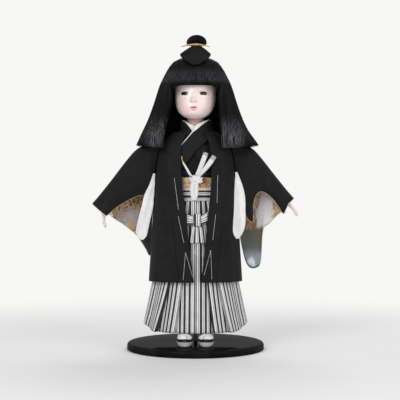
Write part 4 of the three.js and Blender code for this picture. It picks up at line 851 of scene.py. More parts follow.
# %% Leg finish
leg_paint, tree, shader = material("leg_paint", Roughness=0.5)
place = object_place(tree)
soft = use(tree, mottle, {"Place": place, "Scale": 50.0})
wired(shader, Base_Color=blended(tree, soft["Tone"], (0.76, 0.68, 0.62, 1), (0.82, 0.74, 0.69, 1)))
bumped(shader, soft["Fine"], 0.15, 0.0002)
finish_node("left_leg", leg_paint)
finish_node("right_leg", leg_paint)
print("finish:", leg_paint.name)

# %% [markdown]
# The robes follow the torso. Its half widths and half depths are kept as a table against
# height, and every layer adds its own thickness, so the layers lie on each other and never cut
# through. The robe is one tube of black silk from the neck to the knees.

# %% Torso shape and robe
BODY_HEIGHT = 325.0
CHEST_HALF_WIDTH = 46.0
CHEST_HALF_DEPTH = 29.0
BODY_SQUARE = 2.4
BODY_SHARES = [
    (0.15, 0.8, 0.94), (0.46, 0.9, 1.02), (0.69, 0.91, 1), (0.815, 1, 1), (0.892, 1, 0.9),
    (0.925, 0.93, 0.81), (0.948, 0.83, 0.7), (0.975, 0.6, 0.58), (1, 0.38, 0.5)]
ROBE_THICK = 1.5
ROBE_HEM = 60.0
ROBE_TOP = 317.0
robe_in = SEAT
robe_out = robe_in + ROBE_THICK


def body_at(height, out=0.0):
    share = height / BODY_HEIGHT
    return (CHEST_HALF_WIDTH * straight_at(BODY_SHARES, 1, share) + out,
            CHEST_HALF_DEPTH * straight_at(BODY_SHARES, 2, share) + out)


def straight_at(table, column, place):
    if place <= table[0][0]:
        return table[0][column]
    for low, high in zip(table, table[1:]):
        if place <= high[0]:
            return low[column] + (high[column]
                                  - low[column]) * (place - low[0]) / (high[0] - low[0])
    return table[-1][column]


def on_body(angle, height, out):
    half_width, half_depth = body_at(height, out)
    return ring_point(half_width, half_depth, BODY_SQUARE, angle, height)


ARM_PIVOT = (51.978, 0.0, 295.9)
ARMHOLE_RADIUS = 12.5


def armholes(piece):
    for side in (-1, 1):
        shape = bmesh.new()
        bmesh.ops.create_cone(shape, cap_ends=True, segments=40, radius1=ARMHOLE_RADIUS * MM,
                              radius2=ARMHOLE_RADIUS * MM, depth=60 * MM)
        bmesh.ops.rotate(shape, verts=shape.verts, cent=(0, 0, 0),
                         matrix=Matrix.Rotation(math.pi / 2, 3, "Y"))
        x = side * (ARM_PIVOT[0] - ARMHOLE_RADIUS + 30)
        bmesh.ops.translate(shape, verts=shape.verts, vec=metres((x, 0, ARM_PIVOT[2])))
        hole = finished("armhole", shape, black_crepe)
        cutter = piece.modifiers.new("armhole", "BOOLEAN")
        cutter.operation, cutter.object, cutter.solver = "DIFFERENCE", hole, "EXACT"
        piece = baked(piece)
        bpy.data.objects.remove(hole)
    return piece


def robe_place(u, v):
    angle = 2 * math.pi * u
    height = ROBE_HEM + (ROBE_TOP - ROBE_HEM) * v
    return on_body(angle, height, robe_in)


ROBE_MEAN_RADIUS = 38
robe_girth = TURN * ROBE_MEAN_RADIUS
robe = laid("black_robe", robe_place, 96, 60, robe_silk, (robe_girth, ROBE_TOP - ROBE_HEM),
            closed=True)
robe_cut = (robe_girth * 1.08, ROBE_TOP - ROBE_HEM + 4)
dressed(robe, ROBE_THICK, "doll", "black_cloth", "kimono_body", robe_cut, "hung", "torso",
        holes=True)

# %% [markdown]
# The two collars are folded strips, laid round the neck and crossed over the chest with the
# doll's left side on top. Each follows its own line of angle and height, and its width runs
# down the body from that line.

# %% Collars
COLLAR_THICK = 0.8
COLLAR_EASE = 0.95
COLLAR_SEAT = 0.25
COLLAR_FALL = 27.5
COLLAR_NAPE = 340.5
UNDER_COLLAR_WIDTH = 9.5
UNDER_COLLAR_SHOW = 1.0
COLLAR_WIDTH = 19.5
UNDER_COLLAR_LINE = [
    (0.03, 0.5), (-0.035, 0.34), (-0.12, 0.24), (-0.204, 0.16), (-0.35, 0.04), (-0.6, 0), (-0.8, 0),
    (-1, 0), (-1.2, 0), (-1.4, 0), (-1.65, 0), (-1.78, 0.05), (-1.9, 0.16), (-1.99, 0.32),
    (-2.04, 0.68), (-2.086, 1.14), (-2.14, 1.63)]
COLLAR_LINE = [
    (0.26, 2.7), (0.171, 2.2), (0.118, 1.87), (0.079, 1.52), (0.031, 1.145), (-0.031, 0.7),
    (-0.105, 0.42), (-0.183, 0.215), (-0.28, 0.05), (-0.5, 0), (-0.75, 0), (-1, 0), (-1.25, 0),
    (-1.5, 0), (-1.68, 0), (-1.77, 0.06), (-1.845, 0.18), (-1.923, 0.345), (-2.022, 0.7),
    (-2.074, 1.2), (-2.128, 1.705), (-2.2, 2.2), (-2.28, 2.65)]
SASH_TOP = 251.7


def collar_place(line, top, width, layer):
    def edge(u):
        angle, drop = evenly_at(line, min(max(u, 0.0), 1.0))
        return on_body(math.pi * angle, top - COLLAR_FALL * drop, 0)

    def place(u, v):
        angle = math.pi * evenly_at(line, u)[0]
        along = (edge(u + 0.01) - edge(u - 0.01)).normalized()
        outward = Vector((math.sin(angle), -math.cos(angle), 0))
        down = outward.cross(along).normalized()
        flat = edge(u) + down * (width * v)
        lift = (COLLAR_THICK + COLLAR_EASE) * (layer + 2 * ease(0.6, 1.4, -angle / math.pi))
        roll = 0.5 * math.sin(math.pi * min(v * 4, 1.0) / 2) - 0.5
        half_width, half_depth = body_at(flat.z, robe_out + SEAT + COLLAR_SEAT + lift + roll * 0.4)
        power = BODY_SQUARE / 2
        turn = math.atan2(
            math.copysign(abs(flat.x / half_width) ** power, flat.x),
            -math.copysign(abs(flat.y / half_depth) ** power, flat.y))
        return ring_point(half_width, half_depth, BODY_SQUARE, turn, max(flat.z, SASH_TOP + SEAT))
    return place


under_place = collar_place(UNDER_COLLAR_LINE, COLLAR_NAPE, UNDER_COLLAR_WIDTH, 0)
under_collar = laid("white_under_collar", under_place, 120, 6, white_silk,
                    (230, UNDER_COLLAR_WIDTH))
dressed(under_collar, COLLAR_THICK, "doll", "white_cloth", "under_collar",
        (232, UNDER_COLLAR_WIDTH + 0.5),
        "folded", "black_robe", levels=1)

over_place = collar_place(COLLAR_LINE, COLLAR_NAPE - UNDER_COLLAR_SHOW, COLLAR_WIDTH, 1)
collar = laid("black_collar", over_place, 150, 10, robe_silk, (330, COLLAR_WIDTH))
shape = bmesh.new()
shape.from_mesh(collar.data)
sash_edge = metres((0, 0, SASH_TOP + SEAT + 0.01)).z
tucked = [face for face in shape.faces if all(vert.co.z < sash_edge for vert in face.verts)]
bmesh.ops.delete(shape, geom=tucked, context="FACES")
shape.to_mesh(collar.data)
shape.free()
print("collar faces tucked behind the sash:", len(tucked))
dressed(collar, COLLAR_THICK, "doll", "black_cloth", "kimono_collar", (332, COLLAR_WIDTH + 0.5),
        "folded", "black_robe", levels=1)

# %% [markdown]
# The sash is stiff brocade wound round the waist, so it stays a plain band with a soft edge.
# The trousers' waistband below it is a folded band of the striped silk with its stripes level.

# %% Sash and waistband
SASH_BOTTOM = 231.7
SASH_THICK = 2.0
BAND_THICK = 2.4
BAND_HEIGHT = 15.0
band_in = robe_out + SEAT


def band_place(bottom, height, rolls):
    def place(u, v):
        bow = 0.35 * math.sin(math.pi * v) + 0.12 * math.sin(rolls * math.pi * v)
        return on_body(2 * math.pi * u, bottom + height * v, band_in + bow)
    return place


sash = laid("brocade_sash", band_place(SASH_BOTTOM, SASH_TOP - SASH_BOTTOM, 3), 96, 14,
            sash_brocade, (250, SASH_TOP - SASH_BOTTOM), closed=True)
dressed(sash, SASH_THICK - 0.4, "doll", "brocade", "obi", (256, SASH_TOP - SASH_BOTTOM + 1),
        "folded", "black_robe", levels=1)

band_bottom = SASH_BOTTOM - SEAT - BAND_HEIGHT
waistband = laid("striped_waistband", band_place(band_bottom, BAND_HEIGHT, 7), 96, 18,
                 band_silk, (250, BAND_HEIGHT), closed=True)
dressed(waistband, BAND_THICK - 0.4, "doll", "striped_silk", "hakama_waistband",
        (258, BAND_HEIGHT + 1),
        "folded", "black_robe", levels=1)

# %% [markdown]
# The trousers flare from the waist to a wide hem in deep knife pleats. Each pleat is an edge
# that stands out over the next one inwards, so the section steps outward at every fold line and
# falls back slowly behind it. The fold lines fan out, and a narrow centre pleat hangs between.

# %% Trousers
TROUSER_THICK = 1.6
HEM_FRONT = 18.5
HEM_SIDE = 30.0
HEM_HALF_WIDTH = 81.0
HEM_HALF_DEPTH = 51.0
WAIST_OUT = 2.2
trouser_top = SASH_BOTTOM - BAND_HEIGHT - 2 * SEAT
# Fold lines of the front: place across at the waist and at the hem, as shares of the half width
FRONT_FOLDS = [(-0.42, -0.76), (-0.2, -0.405), (-0.03, -0.03), (0.035, 0.022), (0.2, 0.365),
               (0.38, 0.665)]
BACK_FOLDS = [(-0.5, -0.7), (-0.22, -0.33), (0.22, 0.33), (0.5, 0.7)]
FOLD_DEPTH_HEM = 7.5
FOLD_DEPTH_WAIST = 1.6
RISER = 0.05


def trousers_at(height):
    half_width, half_depth = body_at(trouser_top, robe_out + WAIST_OUT)
    t = max((trouser_top - height) / (trouser_top - HEM_FRONT), 0.0)
    flare = 0.62 * t + 0.38 * t ** 1.6
    return (half_width + (HEM_HALF_WIDTH - half_width) * flare, half_depth
            + (HEM_HALF_DEPTH - half_depth) * flare)


def trouser_place(start, folds):
    gap = (SEAT / HEM_HALF_DEPTH) ** (BODY_SQUARE / 2)
    panels = len(folds) + 1

    def place(u, v):
        where = min(u * panels, panels - 1e-6)
        panel = int(where)
        local = where - panel
        shares = []
        for k in (panel - 1, panel):
            if k < 0 or k >= len(folds):
                shares.append(-1.0 if k < 0 else 1.0)
            else:
                shares.append(folds[k][1] + (folds[k][0] - folds[k][1]) * v)
        inward_low = abs(shares[0]) < abs(shares[1])
        if inward_low:
            across = max((local - RISER) / (1 - RISER), 0.0)
            depth = 1 - local / RISER if local < RISER else across * 0.92
        else:
            across = min(local / (1 - RISER), 1.0)
            depth = (1 - across) * 0.92 if local < 1 - RISER else (local - 1 + RISER) / RISER
        share = shares[0] + (shares[1] - shares[0]) * across
        angle = math.copysign(math.asin(min(abs(share), 1.0) ** (BODY_SQUARE / 2)), share)
        angle = start + math.pi / 2 + angle * (1 - 2 * gap / math.pi)
        hem = HEM_FRONT + (HEM_SIDE - HEM_FRONT) * abs(math.sin(angle)) ** 8
        height = hem + (trouser_top - hem) * v
        half_width, half_depth = trousers_at(height)
        deep = FOLD_DEPTH_WAIST + (FOLD_DEPTH_HEM - FOLD_DEPTH_WAIST) * (1 - v) ** 0.8
        middle = abs(shares[0]) < 0.1 and abs(shares[1]) < 0.1
        inset = deep * (depth * 0.5 + 0.12 if middle else depth) * ease(0, 0.08, 1 - abs(share))
        ripple = 0.35 * math.sin(23 * share + 2.5 * v) * (1 - v)
        return ring_point(half_width - inset + ripple, half_depth - inset + ripple, BODY_SQUARE,
                          angle, height)
    return place


def along_folds(piece, folds, cut):
    """The stripes run beside the standing edge of each pleat, at the cloth's own pitch."""
    panels = len(folds) + 1
    for item in piece.data.uv_layers["cloth"].data:
        u, v = item.uv[0] / (cut[0] * MM), item.uv[1] / (cut[1] * MM)
        where = min(max(u * panels, 0.0), panels - 1e-6)
        panel, local = int(where), where % 1.0
        marks = [-1.0] + [hem + (waist - hem) * v for waist, hem in folds] + [1.0]
        low, high = marks[panel], marks[panel + 1]
        inner_low = abs(low) < abs(high)
        across = max((local - RISER) / (1 - RISER),
                     0.0) if inner_low else min(local / (1 - RISER), 1.0)
        half_width = trousers_at(HEM_FRONT + (trouser_top - HEM_FRONT) * v)[0]
        share = max(-1.0, min(1.0, low + (high - low) * across))
        item.uv = (abs(math.asin(share) - math.asin(low if inner_low else high)) * half_width * MM,
                   item.uv[1])


for name, start, folds in (("front", -math.pi / 2, FRONT_FOLDS), ("back", math.pi / 2, BACK_FOLDS)):
    columns = (len(folds) + 1) * 20
    cut = (212.0, trouser_top - HEM_FRONT)
    trousers = laid(f"pleated_trousers_{name}", trouser_place(start, folds), columns, 60,
                    skirt_silk, cut)
    along_folds(trousers, folds, cut)
    area = flat_area(trousers)
    thick(trousers, TROUSER_THICK - 0.6)
    placed(trousers, "doll", "striped_silk", f"hakama_{name}")
    as_cloth(trousers, area, (area / MM / MM / cut[1] * 1.01, cut[1]))

# %% [markdown]
# The sash ends of the trousers are tied in front in a flat cross-shaped bow: two wings of
# folded silk, an upright knot over them, and one tail that hangs down over the pleats.

# %% Bow
BOW_X = 2.5
BOW_HEIGHT = 187.5
BOW_HALF_WIDTH = 15.5
BOW_HALF_HEIGHT = 9.0
BOW_THICK = 3.4
KNOT_HALF_WIDTH = 5.6
TAIL_HALF_WIDTH = 10.5
TAIL_BOTTOM = 153.0
bow_seat = -(trousers_at(BOW_HEIGHT - BOW_HALF_HEIGHT)[1] + TROUSER_THICK + SEAT)

for name, side in (("left", 1), ("right", -1)):
    def wing_place(t, angle):
        reach = KNOT_HALF_WIDTH + SEAT + (BOW_HALF_WIDTH - KNOT_HALF_WIDTH - SEAT) * t
        tall = BOW_HALF_HEIGHT * (0.72 + 0.2 * t)
        ring = ring_point(tall, BOW_THICK / 2 * (0.8 + 0.2 * t), 3, angle, 0)
        pleat = 0.22 * math.sin(ring.x * 2.6) * (1 if ring.y < 0 else 0)
        lift = 5.0 * t if side > 0 else 1.4 * t
        return Vector((BOW_X + side * reach, bow_seat - BOW_THICK / 2 + ring.y + pleat, BOW_HEIGHT
                       + ring.x + lift))

    wing = grown(f"{name}_bow_wing", wing_place, 10, 48, skirt_silk, cut=(36, 14))
    placed(wing, "doll", "striped_silk", f"{name}_hakama_bow_wing")


def knot_place(t, angle):
    ring = ring_point(KNOT_HALF_WIDTH * (1 - 0.1 * math.sin(math.pi * t)), BOW_THICK * 0.8, 3,
                      angle, 0)
    crease = 0.3 * math.sin(ring.x * 2.4) * (1 if ring.y < 0 else 0)
    height = BOW_HEIGHT + BOW_HALF_HEIGHT * (2 * t - 1)
    round_end = 1 - 0.35 * abs(2 * t - 1) ** 6
    return Vector(
        (BOW_X + ring.x, bow_seat - BOW_THICK * 0.8 + ring.y * round_end + crease, height))


knot = grown("bow_knot", knot_place, 16, 48, skirt_silk, cut=(25, BOW_HALF_HEIGHT * 2))
placed(knot, "doll", "striped_silk", "hakama_bow_knot")


def tail_place(u, v):
    tail_top = BOW_HEIGHT - BOW_HALF_HEIGHT - SEAT
    height = TAIL_BOTTOM + (tail_top - TAIL_BOTTOM) * v
    half_width = KNOT_HALF_WIDTH + (TAIL_HALF_WIDTH - KNOT_HALF_WIDTH) * (1 - v) ** 0.6
    x = BOW_X + half_width * (2 * u - 1)
    ripple = 0.25 * math.sin(u * 17)
    return Vector((x, -(trousers_at(height)[1] + TROUSER_THICK + SEAT + 0.3 + ripple), height))


tail = laid("bow_tail", tail_place, 36, 20, skirt_silk, (21, 25))
dressed(tail, 1.2, "doll", "striped_silk", "hakama_bow_tail", (21, 26), "hung", "bow_knot",
        bake=False)

# %% [markdown]
# The coat hangs from the shoulders over everything, open in front. Its back and its two fronts
# are three panels of black crepe, and a folded collar band runs down each front edge.

# %% Coat
COAT_THICK = 1.5
COAT_HEM = 94.0
COAT_WAIST = 225.0
COAT_CHEST = 290.0
COAT_TOP = 320.0
COAT_BAND_WIDTH = 21.0
COAT_BAND_THICK = 2.6
COAT_OPENING = 23.5
OPENING_LINE = [
    (0, 0.383, 0.102), (0.248, 0.617, 0.383), (0.469, 0.83, 0.617), (0.668, 1, 0.851),
    (0.845, 0.957, 0.915), (0.934, 0.851, 0.851), (1, 0.511, 0.511)]


def coat_stations():
    hem = trousers_at(COAT_HEM)
    shoulder_height = BODY_HEIGHT * 0.948
    waist, chest = body_at(COAT_WAIST, robe_out), body_at(COAT_CHEST, robe_out + 7.6)
    shoulder, neck = body_at(shoulder_height, robe_out + 7.6), body_at(COAT_TOP, robe_out + 8.2)
    ease_here = TROUSER_THICK + 3.4
    return [(COAT_HEM, hem[0] + ease_here, hem[1] + ease_here),
            (COAT_WAIST, waist[0] + 18, waist[1] + 11),
            (COAT_CHEST, *chest), (shoulder_height, *shoulder), (COAT_TOP, *neck)]


COAT_TABLE = coat_stations()


def coat_at(height):
    return column_at(COAT_TABLE, 1, height), column_at(COAT_TABLE, 2, height)


def on_coat(angle, height, out):
    half_width, half_depth = coat_at(height)
    return ring_point(half_width + out, half_depth + out, BODY_SQUARE, angle, height)


def coat_drape(angle, v):
    """Soft folds that start below the shoulders and deepen towards the hem."""
    return 0.55 * (1 - v) ** 1.2 * (math.sin(9 * angle + 1.3) + 0.6 * math.sin(17 * angle + 0.4))


def coat_back_place(u, v):
    gap = (SEAT / CHEST_HALF_DEPTH) ** (BODY_SQUARE / 2)
    angle = math.pi / 2 + gap + (math.pi - 2 * gap) * u
    seam = 0.35 * math.exp(-((angle - math.pi) / 0.012) ** 2)
    return on_coat(angle, COAT_HEM + (COAT_TOP - COAT_HEM) * v, 0.6 + coat_drape(angle, v)
                   * math.sin(math.pi * u) - seam)


coat_back = laid("coat_back", coat_back_place, 140, 90, black_crepe, (190, COAT_TOP - COAT_HEM))
dressed(coat_back, COAT_THICK - 0.6, "doll", "black_cloth", "haori_back",
        (212, COAT_TOP - COAT_HEM + 6),
        "hung", "white_under_collar", holes=True)


def opening_edge(column, v):
    return COAT_OPENING * column_at(OPENING_LINE, column, v)


def band_edge(column, v):
    return opening_edge(column, v) + COAT_BAND_WIDTH * (1 - 0.35 * ease(0.87, 1, v))


def coat_strip(side, start_of, end_of, out_of):
    def place(u, v):
        height = COAT_HEM + (COAT_TOP - COAT_HEM) * v
        half_width = coat_at(height)[0]
        start = angle_at(start_of(v), half_width, BODY_SQUARE)
        end = angle_at(end_of(v, half_width), half_width, BODY_SQUARE)
        across = u if side > 0 else 1 - u
        angle = side * (start + (end - start) * across)
        return on_coat(angle, height, out_of(across, angle, v))
    return place


for name, side, column in (("left", 1, 1), ("right", -1, 2)):
    front = laid(f"{name}_coat_front", coat_strip(
        side, lambda v: band_edge(column, v) + SEAT, lambda v, half_width: half_width,
        lambda across, angle,
        v: 0.6 + coat_drape(angle, v) * math.sin(math.pi * min(across * 1.4, 1.0))),
        70, 90, black_crepe, (60, COAT_TOP - COAT_HEM))
    dressed(front, COAT_THICK - 0.6, "doll", "black_cloth", f"{name}_haori_front",
            (96, COAT_TOP - COAT_HEM + 6), "hung", "coat_back", holes=True)

    band = laid(f"{name}_coat_band", coat_strip(
        side, lambda v: opening_edge(column, v), lambda v, half_width: band_edge(column, v),
        lambda across, angle, v: 0.35 + 0.5 * math.sin(math.pi * min(across * 6, 1) / 2) * (
            1 - 0.8 * ease(0.8, 1.0, across))),
        24, 90, black_crepe, (COAT_BAND_WIDTH, COAT_TOP - COAT_HEM))
    dressed(band, COAT_BAND_THICK - 1.0, "doll", "black_cloth", f"{name}_haori_collar",
            (COAT_BAND_WIDTH + 1.5, COAT_TOP - COAT_HEM + 12), "folded", "coat_back", bake=False)

# %% [markdown]
# White basting threads still hold the coat's front edges, as on a new silk coat. Each is a row
# of long stitches, a thin thread that dips into the cloth between one stitch and the next.

# %% Basting threads
basting, tree, shader = material("basting_thread", Roughness=0.8)
place = object_place(tree)
soft = use(tree, mottle, {"Place": place, "Scale": 300.0})
wired(shader, Base_Color=blended(tree, soft["Tone"], grey(0.5), grey(0.72)))
THREAD_RADIUS = 0.26
STITCH = 13.0
STITCH_GAP = 0.5
COAT_BAND_LIFT = 1.9


def coat_front_at(x, height, out):
    half_width, half_depth = coat_at(height)
    across = min(abs(x) / half_width, 0.98)
    return -(half_depth + out) * (1 - across ** BODY_SQUARE) ** (1 / BODY_SQUARE)


BASTING_ROWS = [
    [(-31.7, 250.9), (-25.2, 202.6)], [(-25.8, 193.6), (-17.1, 153.1)],
    [(-14.7, 139.3), (-18.3, 97.8)],
    [(-14.7, 139.3), (-3.8, 102.1)], [(33.7, 255.4), (32.4, 212.5)], [(30.4, 196.2), (25.9, 157.2)],
    [(22.9, 142.6), (12.9, 105.1)], [(22.9, 142.6), (24.6, 98.7)]]


def stitches(rows):
    shape = bmesh.new()
    for start, end in rows:
        start, end = Vector(start), Vector(end)
        length = (end - start).length
        count = max(round(length / STITCH), 1)
        for k in range(count):
            for step in range(6):
                t0 = (k + (step / 6) * (1 - STITCH_GAP / STITCH)) / count
                t1 = (k + ((step + 1) / 6) * (1 - STITCH_GAP / STITCH)) / count
                ends = []
                for t, local in ((t0, step / 6), (t1, (step + 1) / 6)):
                    at = start.lerp(end, t)
                    out = COAT_THICK + COAT_BAND_LIFT + 0.3 * math.sin(math.pi * local)
                    ends.append(metres((at.x, coat_front_at(at.x, at.y, out), at.y)))
                spool = bmesh.ops.create_cone(shape, cap_ends=True, segments=6,
                                              radius1=THREAD_RADIUS * MM,
                                              radius2=THREAD_RADIUS * MM,
                                              depth=(ends[1] - ends[0]).length)
                turn = (ends[1] - ends[0]).to_track_quat("Z", "Y").to_matrix()
                bmesh.ops.rotate(shape, verts=spool["verts"], cent=(0, 0, 0), matrix=turn)
                bmesh.ops.translate(shape, verts=spool["verts"], vec=(ends[0] + ends[1]) / 2)
    return finished("basting_threads", shape, basting)


threads = stitches(BASTING_ROWS)
placed(threads, "doll", "white_cord")
print("basting stitches:", len(threads.data.polygons), "faces")

# %% [markdown]
# The coat is closed by a white silk cord, tied in the middle. One strand rises from the knot to
# the doll's right, two flat braided ends rise to its left and finish in flecked tips, and a
# thick loop hangs below. Small loops of the coat's own crepe hold it to the bands. All of it
# rides on the doll's body, so it keeps the shape it was given.

# %% Braid finish
flecked, tree, shader = material("flecked_braid", Roughness=0.6)
at = split(tree, cloth_place(tree))
place = object_place(tree)
soft = use(tree, mottle, {"Place": place, "Scale": 240.0})
one_way = sums(tree, "SINE",
               sums(tree, "MULTIPLY", sums(tree, "ADD", at[0], at[1]), TURN / (2.1 * MM)))
other_way = sums(tree, "SINE",
                 sums(tree, "MULTIPLY", sums(tree, "SUBTRACT", at[0], at[1]), TURN / (2.1 * MM)))
plait = sums(tree, "MULTIPLY_ADD", sums(tree, "MULTIPLY", one_way, other_way), 0.5, 0.5)
white = blended(tree, plait, grey(0.68), grey(0.94))
flecks = between(tree, soft["Fine"], 0.47, 0.53)
tip = between(tree, at[1], 32.2 * MM, 32.8 * MM)
dark = blended(tree, flecks, grey(0.03), grey(0.8))
wired(shader, Base_Color=blended(tree, tip, white, dark))
bumped(shader, plait, 0.8, 0.0005)
print("finish:", flecked.name)

# %% Cord routes
CORD_RADIUS = 1.5
HOOK_RADIUS = 0.6
CORD_KNOT_RADIUS = 5.6
LOOP_WIDE = 2.1
BRAID_RADIUS = 3.8
KNOT_TURN_RADIUS = 2.1
KNOT_TURNS = 3
CORD_KNOT = Vector((0.6, -43.0, 248.7))
CORD_ROUTES = {
    "right_cord_strand": [(-6.5, -44.5, 252.5), (-10.5, -43.8, 260), (-15, -42.3, 268),
                          (-18.6, -40.6, 274)],
    "upper_cord_tassel": [(2, -45, 254.5), (6, -44.5, 263), (11, -43, 275), (16, -41, 288.5)],
    "lower_cord_tassel": [(4.3, -44, 253), (11, -44, 260), (20, -43, 271), (28.5, -40.5, 283.5)],
    "hanging_cord_loop": [
        (-3.0, -45.5, 245), (-4.6, -45.8, 237), (-4.6, -45.6, 227), (-1.6, -45.2, 219.5),
        (1.0, -45.6, 227), (1.4, -45.8, 237), (1.6, -45.5, 245)],
    "left_cord_hook": [(5, -45.5, 250.5), (11, -46.2, 253), (17, -45.5, 256.5), (23.5, -42, 256)],
    "right_cord_hook": [(-4, -45.5, 251), (-9, -46.4, 254), (-15, -45.7, 258), (-21, -42, 259)]}


def route(name):
    return [Vector(point) for point in CORD_ROUTES[name]]


strand = tube("white_cord_strand", route("right_cord_strand"),
              lambda t: CORD_RADIUS * (1.45 - 0.65 * t), white_thread, sides=16, steps=36)
placed(strand, "doll", "white_cord", "right_cord_strand")
tip_route = [Vector(point) for point in ((-18.2, -40.9, 273.2), (-19.6, -40.2, 277),
                                         (-20.3, -39.7, 280), (-20.4, -39.3, 283))]
strand_tip = tube("gold_strand_tip", tip_route, CORD_RADIUS * 0.55, gold_thread, sides=14, steps=24)
placed(strand_tip, "doll", "gold_cord")
for name in ("upper_cord_tassel", "lower_cord_tassel"):
    braid = tube(f"{name}_braid", route(name),
                 lambda t: BRAID_RADIUS * (0.72 + 0.28 * ease(0.1, 0.75, t) - 0.06
                                           * ease(0.94, 1, t)), flecked,
                 sides=24, steps=44, flat=0.6)
    placed(braid, "doll", "white_cord", name)
loop = tube("white_cord_loop", route("hanging_cord_loop"), CORD_RADIUS * LOOP_WIDE, white_thread,
            sides=18, steps=90, flat=0.7)
placed(loop, "doll", "white_cord", "hanging_cord_loop")
for name in ("left_cord_hook", "right_cord_hook"):
    hook = tube(f"{name}_of_crepe", route(name), HOOK_RADIUS, black_crepe, sides=14, steps=30)
    placed(hook, "doll", "black_cloth", name)


def knot_turn(t):
    """The tied knot: a strand that winds three times round the meeting of the cords."""
    angle = TURN * KNOT_TURNS * t
    ring = 0.62 + 0.16 * math.cos(angle * 0.5)
    x = CORD_KNOT_RADIUS * 2.05 * math.sin(angle) * ring
    z = CORD_KNOT_RADIUS * (2 * t - 1) * 0.75
    y = -CORD_KNOT_RADIUS * 0.42 * math.cos(angle)
    return CORD_KNOT + Vector((x, y, z))


turns = tube("cord_knot_turns", [knot_turn(k / 36) for k in range(37)], KNOT_TURN_RADIUS,
             white_thread, sides=12, steps=120)
core_shape = bmesh.new()
bmesh.ops.create_icosphere(core_shape, subdivisions=3, radius=1.0)
bmesh.ops.scale(core_shape, verts=core_shape.verts, vec=Vector((1.75, 0.62, 1.1)) * CORD_KNOT_RADIUS
                * MM)
bmesh.ops.translate(core_shape, verts=core_shape.verts, vec=metres(CORD_KNOT))
core = finished("cord_knot_core", core_shape, white_thread)
placed(turns, "doll", "white_cord", "cord_knot")
placed(core, "doll", "white_cord", "cord_knot")
print("cord pieces:", len(CORD_ROUTES) + 2)

# %% [markdown]
# Each sleeve is a bag of black crepe folded over the arm. Its front panel is short and curves
# up in an arch, its rear panel hangs longer, and between the two the brocade lining shows. The
# sleeve and its lining use one place function with two radii, so the lining lies inside. The
# padded arm within is wrapped in the robe's silk, and a white sleeve end shows at its side.

# %% Arms and sleeves
ARM_RADIUS = 7.0
WRIST_RADIUS = 4.6
SLEEVE_THICK = 1.3
LINING_THICK = 0.9
LINING_EASE = 0.6
SLEEVE_DROP = 193.0
SLEEVE_HEIGHT = 306.0
SLEEVE_START = 52.0
ARM_FORWARD = 8.0
SLEEVE_BULGE = 2.5
SLEEVE_FROM = 0.052
CUFF_FLARE = 2.0
WRIST_SHARE = 0.9
SLEEVE_CUT = (118, 260)
LINING_CUT = (116, 256)
SLEEVE_END_CUT = (32, 112)
SLEEVE_END_THICK = 2.0
PIPING_RADIUS = 0.55
CUFF_EDGE_RADIUS = 0.9
TOP_LINE = [
    (0, 0), (0.08, 0.001), (0.17, 0.012), (0.29, 0.06), (0.39, 0.14), (0.48, 0.255),
    (0.58, 0.4), (0.69, 0.565), (0.8, 0.725), (0.905, 0.875), (1, 1)]
ARMS = {
    "left": {
        "side": 1, "reach": 98.6, "fall": 85.4, "hand": 50.0,
        "front": [(0.082, 0.228), (0.162, 0.342), (0.223, 0.47), (0.264, 0.585), (0.36, 0.627),
                  (0.365, 0.513),
                  (0.406, 0.42), (0.507, 0.391), (0.65, 0.44), (0.75, 0.505), (0.825, 0.57)],
        "rear": [(0.1, 0.342), (0.158, 0.523), (0.162, 0.705), (0.236, 0.907), (0.314, 0.992),
                 (0.426, 0.997),
                 (0.492, 0.943), (0.527, 0.703), (0.629, 0.642), (0.74, 0.583), (0.852, 0.534)],
        "under": [(0.238, 0.09, 0.125), (0.342, 0.075, 0.2), (0.435, 0.068, 0.24),
                  (0.55, 0.06, 0.243),
                  (0.653, 0.045, 0.24), (0.72, 0.05, 0.2), (0.762, 0.09, 0.145)]},
    "right": {
        "side": -1, "reach": 106.0, "fall": 93.6, "hand": 93.0,
        "front": [(0.074, 0.228), (0.132, 0.306), (0.17, 0.363), (0.217, 0.404), (0.264, 0.42),
                  (0.321, 0.421),
                  (0.406, 0.44), (0.509, 0.469), (0.613, 0.504), (0.708, 0.544), (0.783, 0.584)],
        "rear": [(0.085, 0.368), (0.138, 0.575), (0.155, 0.756), (0.172, 0.9), (0.245, 0.839),
                 (0.311, 0.782),
                 (0.379, 0.731), (0.481, 0.684), (0.585, 0.642), (0.689, 0.606), (0.802, 0.554)],
        "under": [(0.248, 0.092, 0.12), (0.342, 0.095, 0.18), (0.415, 0.098, 0.242),
                  (0.523, 0.125, 0.288),
                  (0.627, 0.17, 0.335), (0.705, 0.2, 0.363), (0.746, 0.222, 0.34),
                  (0.772, 0.264, 0.302)]}}
sleeve_in = ARM_RADIUS + SEAT + LINING_THICK + LINING_EASE
sleeve_out = sleeve_in + SLEEVE_THICK


def top_at(arm, u):
    across, drop = evenly_at(TOP_LINE, u)
    return Vector((SLEEVE_START + arm["reach"] * across, 0, SLEEVE_HEIGHT - arm["fall"] * drop))


def edge_at(arm, which, u):
    across, drop = evenly_at(arm[which], u)
    return Vector((SLEEVE_START + arm["reach"] * across, 0, SLEEVE_HEIGHT - SLEEVE_DROP * drop))


def flare_at(u):
    return CUFF_FLARE * ease(0.6, 1, u)


def arm_line(arm, u):
    along = (top_at(arm, min(u + 0.02, 1)) - top_at(arm, max(u - 0.02, 0))).normalized()
    normal = Vector((-along.z, 0, along.x))
    point = top_at(arm, u) - normal * (sleeve_out + flare_at(u))
    point.y = -ARM_FORWARD * u
    return point, normal, along


